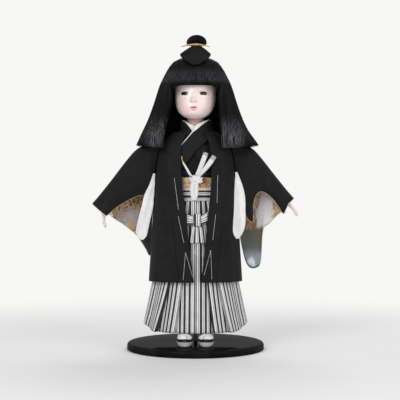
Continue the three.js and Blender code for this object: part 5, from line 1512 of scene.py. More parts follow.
def sleeve_place(arm, radius_here, inset):
    def place(across, v):
        u = across if arm["side"] > 0 else 1 - across
        u = SLEEVE_FROM + (1 - SLEEVE_FROM) * min(max(u, inset), 1 - inset)
        radius = radius_here + flare_at(u)
        point, normal, _ = arm_line(arm, u)
        if 0.25 <= v <= 0.75:
            angle = math.pi * ((v - 0.25) / 0.5 - 0.5)
            at = point + normal * (radius
                                   * math.cos(angle)) + Vector((0, radius * math.sin(angle), 0))
        else:
            hang = (0.25 - v) / 0.25 if v < 0.25 else (v - 0.75) / 0.25
            facing = -1 if v < 0.25 else 1
            edge = edge_at(arm, "front" if v < 0.25 else "rear", u)
            edge.y = point.y + facing * radius
            start = point + Vector((0, facing * radius, 0))
            at = start.lerp(edge, hang * (1 - inset))
            folds = 0.7 * math.sin(15 * u + 1.5 * hang) * hang * (1 - 0.5 * hang)
            at.y += facing * (SLEEVE_BULGE * math.sin(math.pi * hang) * ease(0, 0.3, u)) + folds
        at.x *= arm["side"]
        return at
    return place


def arm_wrap(arm):
    def place(t, angle):
        start = arm_line(arm, 0)[0]
        reach = 1.08 * t - 0.08
        point = start if reach < 0 else arm_line(arm, WRIST_SHARE * reach)[0]
        _, normal, along = arm_line(arm, WRIST_SHARE * max(reach, 0.0))
        radius = ARM_RADIUS + (WRIST_RADIUS - ARM_RADIUS) * ease(0.45, 1, max(reach, 0.0))
        back = min(-reach / 0.08, 0.98) if reach < 0 else 0.0
        radius *= math.sqrt(1 - back * back)
        radius -= 0.15 * abs(math.sin(30 * t + 0.5 * angle))
        at = point - along * (ARM_RADIUS * back) + normal * (radius * math.cos(angle)) + Vector(
            (0, radius * math.sin(angle), 0))
        at.x *= arm["side"]
        return at
    return place


for name, arm in ARMS.items():
    body = f"{name}_arm"
    made_arm = grown(f"{name}_wrapped_arm", arm_wrap(arm), 60, 40, robe_silk, (44, 150))
    placed(made_arm, body, "black_cloth", body)
    sleeve = laid(f"{name}_coat_sleeve", sleeve_place(arm, sleeve_out, 0.0), 90, 120, black_crepe,
                  (150, 300))
    dressed(sleeve, SLEEVE_THICK - 0.2, body, "black_cloth", f"{name}_haori_sleeve", SLEEVE_CUT,
            "hung",
            f"{name}_arm", offset=-1.0)

    silk = left_lining_silk if name == "left" else right_lining_silk
    lining = laid(f"{name}_brocade_lining", sleeve_place(arm, sleeve_in - 0.1, 0.012), 90, 120,
                  silk, (150, 300))
    dressed(lining, LINING_THICK - 0.2, body, "brocade", f"{name}_sleeve_lining", LINING_CUT,
            "hung",
            f"{name}_coat_sleeve", offset=-1.0)

    for place_name, v in (("front", 0.0), ("rear", 1.0)):
        run = sleeve_place(arm, sleeve_out - SLEEVE_THICK / 2, 0.0)
        piping = tube(f"{name}_{place_name}_piping",
                      [run(0.02 + 0.96 * k / 40, v) for k in range(41)], PIPING_RADIUS,
                      piping_silk, sides=8, steps=120)
        placed(piping, body, "brocade")
    cuff_run = sleeve_place(arm, sleeve_in, 0.0)
    cuff_u = 1.0 if arm["side"] > 0 else 0.0
    cuff = tube(f"{name}_cuff_edge", [cuff_run(cuff_u, 0.04 + 0.92 * k / 30) for k in range(31)],
                CUFF_EDGE_RADIUS, cuff_silk, sides=8, steps=90)
    placed(cuff, body, "white_cloth")

    def under_place(u, v):
        share = arm["under"][0][0] + (arm["under"][-1][0] - arm["under"][0][0]) * (1 - v)
        inside = SLEEVE_START + arm["reach"] * column_at(arm["under"], 1, share)
        outside = SLEEVE_START + arm["reach"] * column_at(arm["under"], 2, share)
        facing = u if arm["side"] > 0 else 1 - u
        x = inside + (outside - inside) * facing
        height = SLEEVE_HEIGHT - SLEEVE_DROP * share
        half_width, half_depth = coat_at(height)
        across = min(x / (half_width + COAT_THICK), 1.0)
        coat = (half_depth + COAT_THICK) * (1 - across ** BODY_SQUARE) ** (1 / BODY_SQUARE)
        out = (x - SLEEVE_START) / arm["reach"]
        clear = sleeve_out + ARM_FORWARD * out + SLEEVE_BULGE * ease(0, 0.3, out) + SEAT
        depth = (clear ** 6 + (coat + 2 * SEAT) ** 6) ** (1 / 6)
        fold = 0.55 * math.sin(9 * facing + 3
                               * v) * math.sin(math.pi * v) + 0.5 * ease(0.86, 0.92, facing)
        return Vector((arm["side"] * x, -depth - fold - 0.3, height))

    under = laid(f"{name}_white_sleeve_end", under_place, 40, 80, white_silk, (26, 100))
    dressed(under, SLEEVE_END_THICK, body, "white_cloth", f"{name}_under_sleeve", SLEEVE_END_CUT,
            "folded",
            f"{name}_coat_sleeve")

# %% [markdown]
# Hands and face are moulded and coated with many thin layers of crushed-shell white, rubbed
# smooth. The coat is pale, faintly pink, and softly glossy, with a trace of light under it.

# %% Shell-white coat
shell_white, tree, shader = material(
    "shell_white_coat", Roughness=0.42, Coat_Weight=0.25, Coat_Roughness=0.25,
    Subsurface_Weight=0.12,
    Subsurface_Scale=0.0015)
place = object_place(tree)
soft = use(tree, mottle, {"Place": place, "Scale": 70.0})
skin_tone = blended(tree, soft["Tone"], (0.80, 0.64, 0.59, 1), (0.84, 0.69, 0.64, 1))
wired(shader, Base_Color=skin_tone)
bumped(shader, soft["Fine"], 0.08, 0.0002)
print("finish:", shell_white.name)

# %% [markdown]
# A hand is joined from simple limbs: a palm, four fingers and a thumb. A voxel remesh melts
# them into one skin, and a smoothing pass rounds the webs between the fingers.

# %% Hands
HAND_LENGTH = 40.0
PALM_HALF_WIDTH = 7.0
PALM_HALF_THICK = 4.0
FINGER_RADIUS = 2.35
THUMB_RADIUS = 2.3
PALM_SHARE = 0.46
SKIN_VOXEL = 0.42
palm_length = HAND_LENGTH * PALM_SHARE
finger_length = HAND_LENGTH - palm_length


def hand_parts(name):
    def palm_place(t, angle):
        half_width = WRIST_RADIUS + (PALM_HALF_WIDTH - WRIST_RADIUS) * ease(0, 0.7, t)
        half_thick = WRIST_RADIUS * 0.9 + (PALM_HALF_THICK - WRIST_RADIUS * 0.9) * t
        ring = ring_point(half_width, half_thick, 2.4, angle, 0)
        return Vector((palm_length * t, ring.x, ring.y - BOARD_THICK))

    yield grown(f"{name}_palm", palm_place, 12, 32, shell_white)
    low = Vector((0, 0, -BOARD_THICK))
    for place_across in (-1.5, -0.5, 0.5, 1.5):
        root = place_across * (PALM_HALF_WIDTH - FINGER_RADIUS) * 0.62
        reach = finger_length * (1 - 0.12 * abs(place_across + 0.5))
        path = [low + Vector((palm_length - FINGER_RADIUS * 1.6, root, 0)),
                low + Vector((palm_length + reach * 0.33, root * 1.05, 0.32 * FINGER_RADIUS)),
                low + Vector((palm_length + reach * 0.68, root * 1.1, (0.3 * place_across + 0.2)
                              * FINGER_RADIUS)),
                low + Vector((palm_length + reach * 0.96, root * 1.12, (0.5 * place_across - 0.3)
                              * FINGER_RADIUS))]
        yield tube(f"{name}_finger", path,
                   lambda t: FINGER_RADIUS * (1.0 - 0.22 * t - 0.5 * ease(0.86, 1.0, t) + 0.06
                                              * math.sin(9 * t)),
                   shell_white, sides=16, steps=24)
    thumb = [(0.2, -0.4, -0.3), (0.5, -0.5, -1.3), (0.8, -0.5, -2.3), (1.05, -0.45, -2.9),
             (1.3, -0.4, -3.1)]
    yield tube(f"{name}_thumb", [low + Vector(
        (palm_length * a, PALM_HALF_WIDTH * b, PALM_HALF_THICK * c)) for a, b, c in thumb],
               lambda t: THUMB_RADIUS * (1.05 - 0.2 * t - 0.5 * ease(0.86, 1.0, t)), shell_white,
               sides=16, steps=24)


def joined(name, pieces, voxel):
    shape = bmesh.new()
    for piece in pieces:
        shape.from_mesh(piece.data)
        bpy.data.objects.remove(piece)
    made = finished(name, shape, shell_white)
    melt = made.modifiers.new("melt", "REMESH")
    melt.mode, melt.voxel_size = "VOXEL", voxel * MM
    melt.use_smooth_shade = True
    soft_skin = made.modifiers.new("smooth", "SMOOTH")
    soft_skin.iterations, soft_skin.factor = 4, 0.5
    return baked(made)


for name, arm in ARMS.items():
    hand = joined(f"{name}_moulded_hand", hand_parts(name), SKIN_VOXEL)
    wrist, _, along = arm_line(arm, WRIST_SHARE)
    wrist.x *= arm["side"]
    turn = math.radians(arm["hand"])
    direction = Vector((arm["side"] * math.cos(turn), 0, -math.sin(turn)))
    forearm = Vector((arm["side"] * along.x, 0, along.z))
    start = wrist + forearm * (SEAT + WRIST_RADIUS * math.sin(forearm.angle(direction)))
    depth = Vector((0, 1, 0))
    upright = direction.cross(depth) * arm["side"]
    basis = Matrix((direction, depth, upright)).transposed().to_4x4()
    hand.data.transform(Matrix.Translation(metres(start)) @ basis)
    if basis.determinant() < 0:
        hand.data.flip_normals()
    hand.data.materials.clear()
    hand.data.materials.append(shell_white)
    placed(hand, f"{name}_hand", "painted_skin", f"{name}_hand")
    print(hand.name, len(hand.data.polygons), "faces")

# %% [markdown]
# The face is painted over the shell-white coat: rose on the cheeks and the lids, a small red
# mouth and a fine grey line above each eye. Painted shade darkens the nostrils, the base of the
# nose and the crease under the lip, and a painted highlight lightens each lower lid. Each painted
# place is a soft ellipse, so one small node group makes them all, read in the head's own
# unturned coordinates.

# %% Painted face
HEAD_SET_BACK = -4.0
HEAD_TURN = math.radians(-4.0)
EYE_SPREAD = 15.0
EYE_HEIGHT = 377.7
MOUTH_HEIGHT = 355.6
NOSE_HEIGHT = 367.0

face_coat, tree, shader = material(
    "painted_face", Roughness=0.36, Coat_Weight=0.3, Coat_Roughness=0.22, Subsurface_Weight=0.12,
    Subsurface_Scale=0.0015)
world_place = object_place(tree)
middle = Vector((0, HEAD_SET_BACK * MM, 0))
back_turn = Matrix.Rotation(-HEAD_TURN, 3, "Z")
place = add(tree, "Mapping", values={
    "Vector": world_place, "Rotation": (0, 0, -HEAD_TURN),
    "Location": tuple(middle - back_turn @ middle)}).outputs[0]
soft = use(tree, mottle, {"Place": place, "Scale": 60.0})
colour = blended(tree, soft["Tone"], (0.86, 0.725, 0.69, 1), (0.885, 0.755, 0.72, 1))


def painted(colour, tone, across, height, half_width, half_height, softness, strength):
    mask = spotted(tree, place, across, height + BOARD_THICK, half_width, half_height, softness)
    return blended(tree, sums(tree, "MULTIPLY", mask, strength), colour, tone)


ROSE = (0.86, 0.5, 0.52, 1)
LIP_RED = (0.5, 0.035, 0.03, 1)
LIP_ROSE = (0.85, 0.42, 0.33, 1)
# One grey serves the fine line above each eye and the painted shade at the nose and lip.
GREY_LINE_AND_SHADE = (0.34, 0.26, 0.25, 1)
LID_BROWN = (0.07, 0.035, 0.03, 1)
for side, blush in ((-1, 0.4), (1, 0.24)):
    colour = painted(colour, ROSE, side * 19.5, 359, 9.5, 13, 0.9, blush)
    colour = painted(colour, ROSE, side * 15.5, 383.2, 6.5, 3.2, 0.8, 0.5)
    colour = painted(colour, GREY_LINE_AND_SHADE, side * 15.2, 381.4, 5.4, 0.35, 0.8, 0.35)
    colour = painted(colour, LID_BROWN, side * 14.8, 379.6, 6.3, 1.2, 0.35, 0.8)
    colour = painted(colour, LID_BROWN, side * 20.9, 377.6, 1.1, 0.9, 0.4, 0.8)
    # Painted highlight: a pale strip along each lower lid.
    colour = painted(colour, (0.97, 0.9, 0.88, 1), side * 14.6, 374.0, 5.6, 0.9, 0.7, 0.7)
    # Painted shade at the nostrils.
    colour = painted(colour, GREY_LINE_AND_SHADE, side * 3.6, 365.0, 2.2, 0.8, 0.7, 0.75)
    colour = painted(colour, LIP_RED, side * 2.1, MOUTH_HEIGHT + 1.15, 2.5, 1.25, 0.3, 0.95)
# Painted shade under the nose.
colour = painted(colour, GREY_LINE_AND_SHADE, 0, 364.0, 2.6, 0.5, 0.8, 0.35)
colour = painted(colour, LIP_RED, 0, MOUTH_HEIGHT + 0.35, 5.2, 0.95, 0.3, 0.95)
colour = painted(colour, LIP_ROSE, 0, MOUTH_HEIGHT - 1.9, 4.0, 1.25, 0.4, 0.9)
# Painted shade in the crease under the lip.
colour = painted(colour, GREY_LINE_AND_SHADE, 0, 351.6, 3.6, 0.7, 0.8, 0.3)
wired(shader, Base_Color=colour)
bumped(shader, soft["Fine"], 0.05, 0.0002)
print("finish:", face_coat.name)

# %% [markdown]
# The head starts as a grid wrapped round a rounded egg, and the features are soft hills and
# hollows on it: nose, lips, chin and the almond openings where the glass eyes are set.

# %% Head
HEAD_HALF_WIDTH = 32.0
HEAD_FRONT = 36.0
HEAD_BACK = 38.0
HEAD_MIDDLE = 386.0
CROWN_RISE = 46.0
CHIN_DROP = 45.0
JAW_FORWARD = 17.0


def hill(x, height, at_x, at_height, half_width, half_height):
    return math.exp(-((x - at_x) / half_width) ** 2 - ((height - at_height) / half_height) ** 2)


def almond(x, height):
    """Less than 1 inside the opening of the nearer eye."""
    across = (abs(x) - EYE_SPREAD) / 6.0
    up = (height - EYE_HEIGHT - 0.25 * across) / (2.9 if height > EYE_HEIGHT else 2.6)
    return across ** 2 + abs(up) ** (1.7 + 0.3 * abs(across))


def features(x, height):
    forward = 3.7 * hill(x, height, 0, NOSE_HEIGHT + 0.3, 3.6, 3.4)
    forward += 1.5 * math.exp(-(x / 3.2) ** 2) * ease(366, 370,
                                                      height) * (1 - ease(372, 386, height))
    forward += 0.9 * (hill(x, height, 3.9, NOSE_HEIGHT - 0.9, 1.7, 1.7)
                      + hill(x, height, -3.9, NOSE_HEIGHT - 0.9, 1.7, 1.7))
    forward -= 0.9 * (hill(x, height, 2.3, 364.6, 1.1, 0.8)
                      + hill(x, height, -2.3, 364.6, 1.1, 0.8))
    forward -= 0.35 * hill(x, height, 0, 361, 1.2, 2.4)
    forward += 1.1 * hill(x, height, 0, MOUTH_HEIGHT, 8.5, 5.5)
    forward += 0.55 * hill(x, height, 0, MOUTH_HEIGHT + 1.3, 4.2,
                           1.1) + 0.65 * hill(x, height, 0, MOUTH_HEIGHT - 1.4, 3.6, 1.2)
    forward -= 0.6 * hill(x, height, 0, MOUTH_HEIGHT - 0.15, 5.0, 0.45)
    forward -= 0.7 * hill(x, height, 0, 351.6, 5.0, 1.4)
    forward += 1.2 * hill(x, height, 0, 346.5, 8.0, 4.5)
    forward += 0.7 * (hill(x, height, 19, 361, 8, 9) + hill(x, height, -19, 361, 8, 9))
    forward -= 0.7 * (hill(x, height, EYE_SPREAD, 381.5, 8, 3)
                      + hill(x, height, -EYE_SPREAD, 381.5, 8, 3))
    opening = almond(x, height)
    forward += 0.75 * math.exp(-((opening - 1.45) / 0.5) ** 2)
    forward -= 1.9 * (1 - ease(0.8, 1.12, opening))
    return forward


def head_place(s, t):
    turn = 2 * s - 1
    angle = math.pi * turn * (0.5 + 0.5 * turn * turn)
    rise = -math.cos(math.pi * t)
    squareness = 2.2 if rise > 0 else 2.65
    level = math.copysign(abs(rise) ** (2 / squareness), rise)
    girth = math.sin(math.pi * t) ** (2 / squareness)
    front = math.cos(angle) > 0
    x = HEAD_HALF_WIDTH * girth * math.sin(angle)
    y = HEAD_SET_BACK - (HEAD_FRONT if front else HEAD_BACK) * girth * math.cos(
        angle) - JAW_FORWARD * max(-level, 0.0) ** 1.6
    height = HEAD_MIDDLE + level * (CROWN_RISE if level > 0 else CHIN_DROP)
    if front:
        y -= features(x, height) * ease(0, 0.35, math.cos(angle))
    return Vector((x, y, height))


def turned_on_neck(piece):
    turn = Matrix.Rotation(HEAD_TURN, 4, "Z")
    there = Matrix.Translation(middle)
    piece.data.transform(there @ turn @ there.inverted())
    return piece


head = turned_on_neck(laid("painted_head", head_place, 260, 220, face_coat, closed=True))

NECK_PEG_RADIUS = 7.0
NECK_RADIUS = 12.5
# The neck is painted reddish brown: painted shade under the chin.
neck_shade_paint, tree, shader = material("painted_neck_shade", Roughness=0.5)
tone = use(tree, mottle, {"Place": object_place(tree), "Scale": 60.0})["Tone"]
wired(shader, Base_Color=blended(tree, tone, (0.5, 0.33, 0.3, 1), (0.6, 0.42, 0.38, 1)))


def neck_place(t, angle):
    height = ROBE_TOP - 15 + (HEAD_MIDDLE - 30 - ROBE_TOP + 15) * t
    radius = NECK_PEG_RADIUS if height < ROBE_TOP + SEAT else NECK_RADIUS
    return Vector((radius * math.sin(angle), HEAD_SET_BACK - radius * math.cos(angle), height))


neck = grown("neck", neck_place, 24, 64, neck_shade_paint)
placed(head, "head", "painted_skin", "head")
placed(neck, "head", "painted_skin", "head")
print("head:", len(head.data.polygons), "faces")

# %% Glass eyes
PUPIL_RADIUS = 2.1
GLASS_HALF_WIDTH = 7.2
GLASS_HALF_HEIGHT = 4.0


def eye_finish(name, at_x):
    made, tree, shader = material(name, Roughness=0.08, Specular_IOR_Level=0.3)
    place = object_place(tree)
    height = EYE_HEIGHT + BOARD_THICK
    iris = spotted(tree, place, at_x, height, 4.9, 4.6, 0.12)
    pupil = spotted(tree, place, at_x, height, PUPIL_RADIUS, PUPIL_RADIUS, 0.2)
    rays = use(tree, mottle, {"Place": place, "Scale": 900.0})
    ring = blended(tree, rays["Tone"], (0.012, 0.006, 0.004, 1), (0.035, 0.018, 0.012, 1))
    dark = blended(tree, pupil, ring, (0.002, 0.002, 0.002, 1))
    white = blended(tree, rays["Tone"], (0.55, 0.52, 0.5, 1), (0.68, 0.65, 0.63, 1))
    wired(shader, Base_Color=blended(tree, iris, white, dark))
    return made


def face_front(x, height):
    level = (height - HEAD_MIDDLE) / CHIN_DROP
    girth = (1 - abs(level) ** 2.65) ** (1 / 2.65)
    across = math.sqrt(1 - (x / (HEAD_HALF_WIDTH * girth)) ** 2)
    return HEAD_SET_BACK - HEAD_FRONT * girth * across - JAW_FORWARD * max(-level, 0.0) ** 1.6


def glass_place(side):
    def place(u, v):
        x, up = GLASS_HALF_WIDTH * (2 * u - 1), GLASS_HALF_HEIGHT * (2 * v - 1)
        bulge = max(1 - (x / GLASS_HALF_WIDTH) ** 2 - (up / GLASS_HALF_HEIGHT) ** 2, 0.0)
        x += side * EYE_SPREAD
        return Vector((x, face_front(x, EYE_HEIGHT + up) + 1.25 - 1.0 * bulge, EYE_HEIGHT + up))
    return place


for name, side in (("left", 1), ("right", -1)):
    seen = glass_place(side)(0.5, 0.5)
    seen.x -= side * 0.8
    there = Matrix.Translation(middle) @ Matrix.Rotation(HEAD_TURN, 4,
                                                         "Z") @ Matrix.Translation(-middle)
    seen_at = there @ Vector((seen.x * MM, seen.y * MM, 0))
    eye = laid(f"{name}_glass_eye", glass_place(side), 40, 30,
               eye_finish(f"{name}_eye_glass", seen_at.x / MM))
    eye = turned_on_neck(baked(thick(eye, 1.2, offset=-1.0)))
    placed(eye, "head", "eye_glass", f"{name}_eye")
print("glass eyes set")

# %% [markdown]
# Doll hair is straight black silk, glued over the crown and cut level. It is made in two
# layers: dark shells that fill its shape, and thousands of thin strands over them. The strands
# are curves with a small bevel, turned into a mesh once. Their lower ends at the front are
# painted grey as a painted highlight, and a streaked band high on the front gets a painted sheen.

# %% Hair finish
hair_silk, tree, shader = material("black_hair", Specular_IOR_Level=0.1)
place = object_place(tree)
run = add(tree, "Mapping", values={"Vector": place, "Scale": (1.0, 1.0, 0.03)}).outputs[0]
fine = add(tree, "TexNoise", values={"Vector": run, "Scale": 1500.0, "Detail": 2.0}).outputs[0]
broad = add(tree, "TexNoise", values={"Vector": run, "Scale": 260.0, "Detail": 2.0}).outputs[0]
at = split(tree, place)
tone = blended(tree, between(tree, fine, 0.4, 0.7), (0.002, 0.002, 0.0024, 1),
               (0.011, 0.0105, 0.013, 1))
# Painted highlight: the lower front ends of the side locks turn grey.
ends = between(tree, sums(tree, "ADD", at[2], sums(tree, "MULTIPLY", broad, 0.03)), 0.375, 0.335)
across = sums(tree, "ABSOLUTE", sums(tree, "SUBTRACT", sums(tree, "ABSOLUTE", at[0]), 0.05))
ends = sums(tree, "MULTIPLY", ends, between(tree, across, 0.03, 0.012))
ends = sums(tree, "MULTIPLY", ends, between(tree, fine, 0.42, 0.62))
front_side = between(tree, at[1], 0.0, -0.02)
ends = sums(tree, "MULTIPLY", sums(tree, "MULTIPLY", ends, front_side), 0.85)
# Painted sheen: a streaked grey band high on the front of the hair.
painted_sheen = sums(tree, "MULTIPLY", between(tree, at[2], 0.402, 0.409),
             between(tree, at[2], 0.43, 0.417))
painted_sheen = sums(tree, "MULTIPLY", sums(tree, "MULTIPLY", painted_sheen, front_side),
             between(tree, fine, 0.4, 0.62))
tone = blended(tree, sums(tree, "MULTIPLY", painted_sheen, 0.8), tone, (0.07, 0.071, 0.077, 1))
wired(shader, Base_Color=blended(tree, ends, tone, (0.2, 0.2, 0.215, 1)))
wired(shader, Roughness=sums(tree, "MULTIPLY_ADD", fine, 0.3, 0.22))
bumped(shader, sums(tree, "ADD", fine, broad), 0.7, 0.0004)
print("finish:", hair_silk.name)

# %% Hair shape
HAIR_TOP = 440.0
HAIR_HEM = 296.0
HAIR_HEM_SIDE = 303.0
HAIR_HALF_WIDTH = 93.0
FLARE = 6.5
HAIR_FRONT = 45.0
HAIR_BACK = 52.0
HAIR_THICK = 7.5
HAIR_SQUARE = 2.2
HAIR_SHARES = [
    (0, 1, 0.86, 0.98), (0.14, 0.9, 0.88, 0.98), (0.32, 0.77, 0.9, 0.98), (0.5, 0.67, 0.92, 0.98),
    (0.67, 0.585, 0.965, 0.95), (0.77, 0.51, 0.93, 0.88), (0.86, 0.43, 0.8, 0.76),
    (0.93, 0.33, 0.6, 0.58), (1, 0.06, 0.1, 0.1)]
PART_HEIGHT = 391.0
FRINGE_HALF_WIDTH = 33.5
FRONT_TOP = 33.5
FRONT_LOW = {"left": 40.0, "right": 50.0}
BACK_SPLIT = 0.62
CROWN_STRANDS = 2300
CROWN_STRAND_RADIUS = 0.42
FALL_STRANDS = {"left": 1250, "right": 1250, "back": 1100}
FALL_STRAND_RADIUS = 0.4


def hair_at(height):
    share = (height - HAIR_HEM) / (HAIR_TOP - HAIR_HEM)
    return (HAIR_HALF_WIDTH * column_at(HAIR_SHARES, 1, share), HAIR_FRONT
            * column_at(HAIR_SHARES, 2, share),
            HAIR_BACK * column_at(HAIR_SHARES, 3, share))


def on_hair(angle, height, out):
    half_width, front, back = hair_at(height)
    at = ring_point(half_width + out, (front if math.cos(angle) > 0 else back) + out, HAIR_SQUARE,
                    angle, height)
    at.y += HEAD_SET_BACK
    at.x += FLARE * ease(0.5, 1, at.x / HAIR_HALF_WIDTH) * ease(330, HAIR_HEM, height)
    return at


def hair_hem(angle):
    return HAIR_HEM + (HAIR_HEM_SIDE - HAIR_HEM) * abs(math.sin(angle)) ** 3


def cap_height(t, low=PART_HEIGHT):
    return low + (HAIR_TOP - low) * (1 - (1 - t) ** 2.2)


def fall_place(name, out):
    side = 1 if name == "left" else -1
    top = PART_HEIGHT - SEAT

    def place(u, v):
        guide = HAIR_HEM + (top - HAIR_HEM) * v
        half_width = hair_at(guide)[0]
        if name == "back":
            angle = math.pi - BACK_SPLIT + 2 * BACK_SPLIT * u
            hem = hair_hem(angle)
            return on_hair(angle, hem + (top - hem) * v, out)
        front_x = FRONT_TOP + (FRONT_LOW[name] - FRONT_TOP) * ease(0, 1, 1 - v * 1.15)
        start = angle_at(front_x, half_width - HAIR_THICK, HAIR_SQUARE)
        across = u if side > 0 else 1 - u
        angle = start + (math.pi - BACK_SPLIT - SEAT / HAIR_BACK - start) * across
        hem = hair_hem(angle)
        return on_hair(side * angle, hem + (top - hem) * v, out)
    return place

# %% Strand maker
chance = random.Random(7)


def strands(name, paths, radius, finish=hair_silk, tapered=True):
    data = bpy.data.curves.new(name, "CURVE")
    data.dimensions = "3D"
    data.bevel_depth = radius * MM
    data.bevel_resolution = 0
    data.use_fill_caps = True
    for path in paths:
        spline = data.splines.new("POLY")
        spline.points.add(len(path) - 1)
        for k, (point, at) in enumerate(zip(spline.points, path)):
            point.co = (*metres(at), 1.0)
            point.radius = 1.0 - 0.75 * (k / (len(path) - 1)) ** 6 if tapered else 1.0
    curve = bpy.data.objects.new(name, data)
    bpy.context.scene.collection.objects.link(curve)
    data.materials.append(finish)
    piece = baked(curve)
    bpy.data.curves.remove(data)
    return piece

# %% [markdown]
# The cap covers the crown, and the fringe is set into its front. Their strands start together
# at the crown's middle and fan out over the dome, so no parting shows.

# %% Cap and fringe
fringe_angle = angle_at(FRINGE_HALF_WIDTH, hair_at(PART_HEIGHT)[0], HAIR_SQUARE)


def cap_place(u, v):
    return on_hair(2 * math.pi * u, cap_height(v), -0.9)


cap = laid("hair_cap_shell", cap_place, 120, 48, hair_silk, (300, 60), closed=True)
shape = bmesh.new()
shape.from_mesh(cap.data)
fringe_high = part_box("hair_fringe")[1]
before = [face for face in shape.faces
          if abs(face.calc_center_median().x) < FRINGE_HALF_WIDTH * MM
          and face.calc_center_median().y < fringe_high.y and face.calc_center_median().z < fringe_high.z]
bmesh.ops.delete(shape, geom=before, context="FACES")
shape.to_mesh(cap.data)
shape.free()
cap = baked(thick(cap, 4.0, offset=-1.0))
placed(cap, "head", "hair", "hair_cap")


def fringe_bottom(angle):
    return PART_HEIGHT - 1.3 - 6.0 * ease(0.72, 1.05, abs(angle) / fringe_angle)


def fringe_place(u, v):
    angle = fringe_angle * (2 * u - 1) * 0.985
    low = fringe_bottom(angle)
    top = fringe_high.z / MM - BOARD_THICK + 0.5
    return on_hair(angle, low + (top - low) * v, -0.9)


fringe = laid("hair_fringe_shell", fringe_place, 60, 30, hair_silk, (70, 50))
fringe = baked(thick(fringe, 4.0, offset=-1.0))
placed(fringe, "head", "hair", "hair_fringe")


def crown_strand(angle, low, layer):
    drift = chance.uniform(-0.03, 0.03)
    path = []
    for k in range(11):
        t = 1 - k / 10
        height = cap_height(t * 0.985, low)
        path.append(on_hair(angle + drift * (1 - t), height, layer))
    return path


cap_strands, fringe_strands = [], []
for _ in range(CROWN_STRANDS):
    angle = chance.uniform(-math.pi, math.pi)
    layer = chance.uniform(-0.8, 0.35)
    if abs(angle) < fringe_angle * 1.03:
        fringe_strands.append(
            crown_strand(angle, fringe_bottom(angle) + chance.uniform(-0.9, 0.7), layer))
    else:
        cap_strands.append(
            crown_strand(angle, PART_HEIGHT - chance.uniform(1.5, 9.0), layer + 0.35))
for name, paths, node in (("hair_cap_strands", cap_strands, "hair_cap"),
                          ("hair_fringe_strands", fringe_strands, "hair_fringe")):
    piece = strands(name, paths, CROWN_STRAND_RADIUS)
    placed(piece, "head", "hair", node)
    print(name, len(paths), "strands,", len(piece.data.polygons), "faces")

# %% [markdown]
# The long hair falls past the shoulders in three parts, and its ends lie on the coat. The side
# parts are split above the shoulders, and the ends below the split rest on the sleeves.

# %% Long hair
ENDS_HEIGHT = 326.0


def share_of(height):
    return (height - HAIR_HEM_SIDE) / (PART_HEIGHT - SEAT - HAIR_HEM_SIDE)


def bent(piece, name, ends):
    if ends:
        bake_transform(piece)
    else:
        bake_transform(piece)
    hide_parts(f"{name}_hair_fall")
    made_pieces.append(piece.name)


for name, count in FALL_STRANDS.items():
    cut_at = share_of(ENDS_HEIGHT) if name != "back" else -0.001
    ranges = [(cut_at, 1.0, False)] + ([(0.0, cut_at, True)] if name != "back" else [])
    for low, high, ends in ranges:
        inner = fall_place(name, -1.1)
        label = "ends" if ends else "fall"
        shell = laid(f"{name}_hair_{label}_shell", lambda u,
                     v: inner(u, max(low, 0.0) + (high - max(low, 0.0)) * v),
                     60, 30, hair_silk, (90, 100))
        bent(baked(thick(shell, HAIR_THICK - 3.0, offset=-1.0)), name, ends)
    upper, lower = [], []
    for _ in range(count):
        u = chance.uniform(-0.006, 1.006)
        drift = chance.gauss(0, 0.012)
        layer = chance.uniform(-1.0, 0.5)
        fall = fall_place(name, -HAIR_THICK + 1.5 if chance.random() < 0.14 else layer)
        end = chance.gauss(0.0, 0.012)
        stops = [1.02 - (1.02 - max(cut_at, end)) * k / 9 for k in range(10)]
        upper.append([fall(min(max(u + drift * (1 - v) ** 2, -0.01), 1.01), v) for v in stops])
        if name != "back":
            stops = [cut_at - (cut_at - end) * k / 4 for k in range(5)]
            lower.append([fall(min(max(u + drift * (1 - v) ** 2, -0.01), 1.01), v) for v in stops])
    for label, paths, tapered in (("fall", upper, name == "back"), ("ends", lower, True)):
        if paths:
            piece = strands(f"{name}_hair_{label}_strands", paths, FALL_STRAND_RADIUS,
                            tapered=tapered)
            bent(piece, name, label == "ends")
            print(piece.name, len(paths), "strands,", len(piece.data.polygons), "faces")

# %% [markdown]
# The topknot is bound with a gold cord: above the cord the hair is folded back in a loop, and
# below it the cut tail is spread forward over the crown like a brush.

# %% Topknot
KNOT_SIDEWAYS = 1.8
root_low, root_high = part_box("topknot_root")
loop_low, loop_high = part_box("topknot_loop")
tie_low, tie_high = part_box("topknot_tie")
ROOT_HALF_WIDTH = 6.5
ROOT_HALF_DEPTH = 5.0
root_bottom = root_low.z / MM - BOARD_THICK
root_top = root_high.z / MM - BOARD_THICK
loop_bottom = loop_low.z / MM - BOARD_THICK
loop_top = loop_high.z / MM - BOARD_THICK
loop_half = (loop_high.x - loop_low.x) / 2 / MM


def root_place(t, angle):
    widen = 1 + 0.55 * (1 - t) ** 2 - 0.08 * math.sin(math.pi * t)
    at = ring_point(ROOT_HALF_WIDTH * widen, ROOT_HALF_DEPTH * widen, HAIR_SQUARE, angle, 0)
    groove = 1 + 0.03 * math.sin(26 * angle)
    return Vector((at.x * groove + KNOT_SIDEWAYS * t, at.y * groove + HEAD_SET_BACK, root_bottom
                   - 1.5 + (root_top - root_bottom + 1.5) * t))


root = grown("topknot_root_hair", root_place, 16, 96, hair_silk)
placed(root, "head", "hair", "topknot_root")

LOOP_RADIUS = 5.4
LOOP_FLAT = 0.78
LOOP_STRANDS = 220
LOOP_STRAND_RADIUS = 0.22
loop_rise = loop_top - loop_bottom - LOOP_RADIUS * 0.8


def loop_reach(t):
    return LOOP_RADIUS * (0.5 + 0.5 * math.sqrt(max(math.sin(math.pi * t), 0.0)))


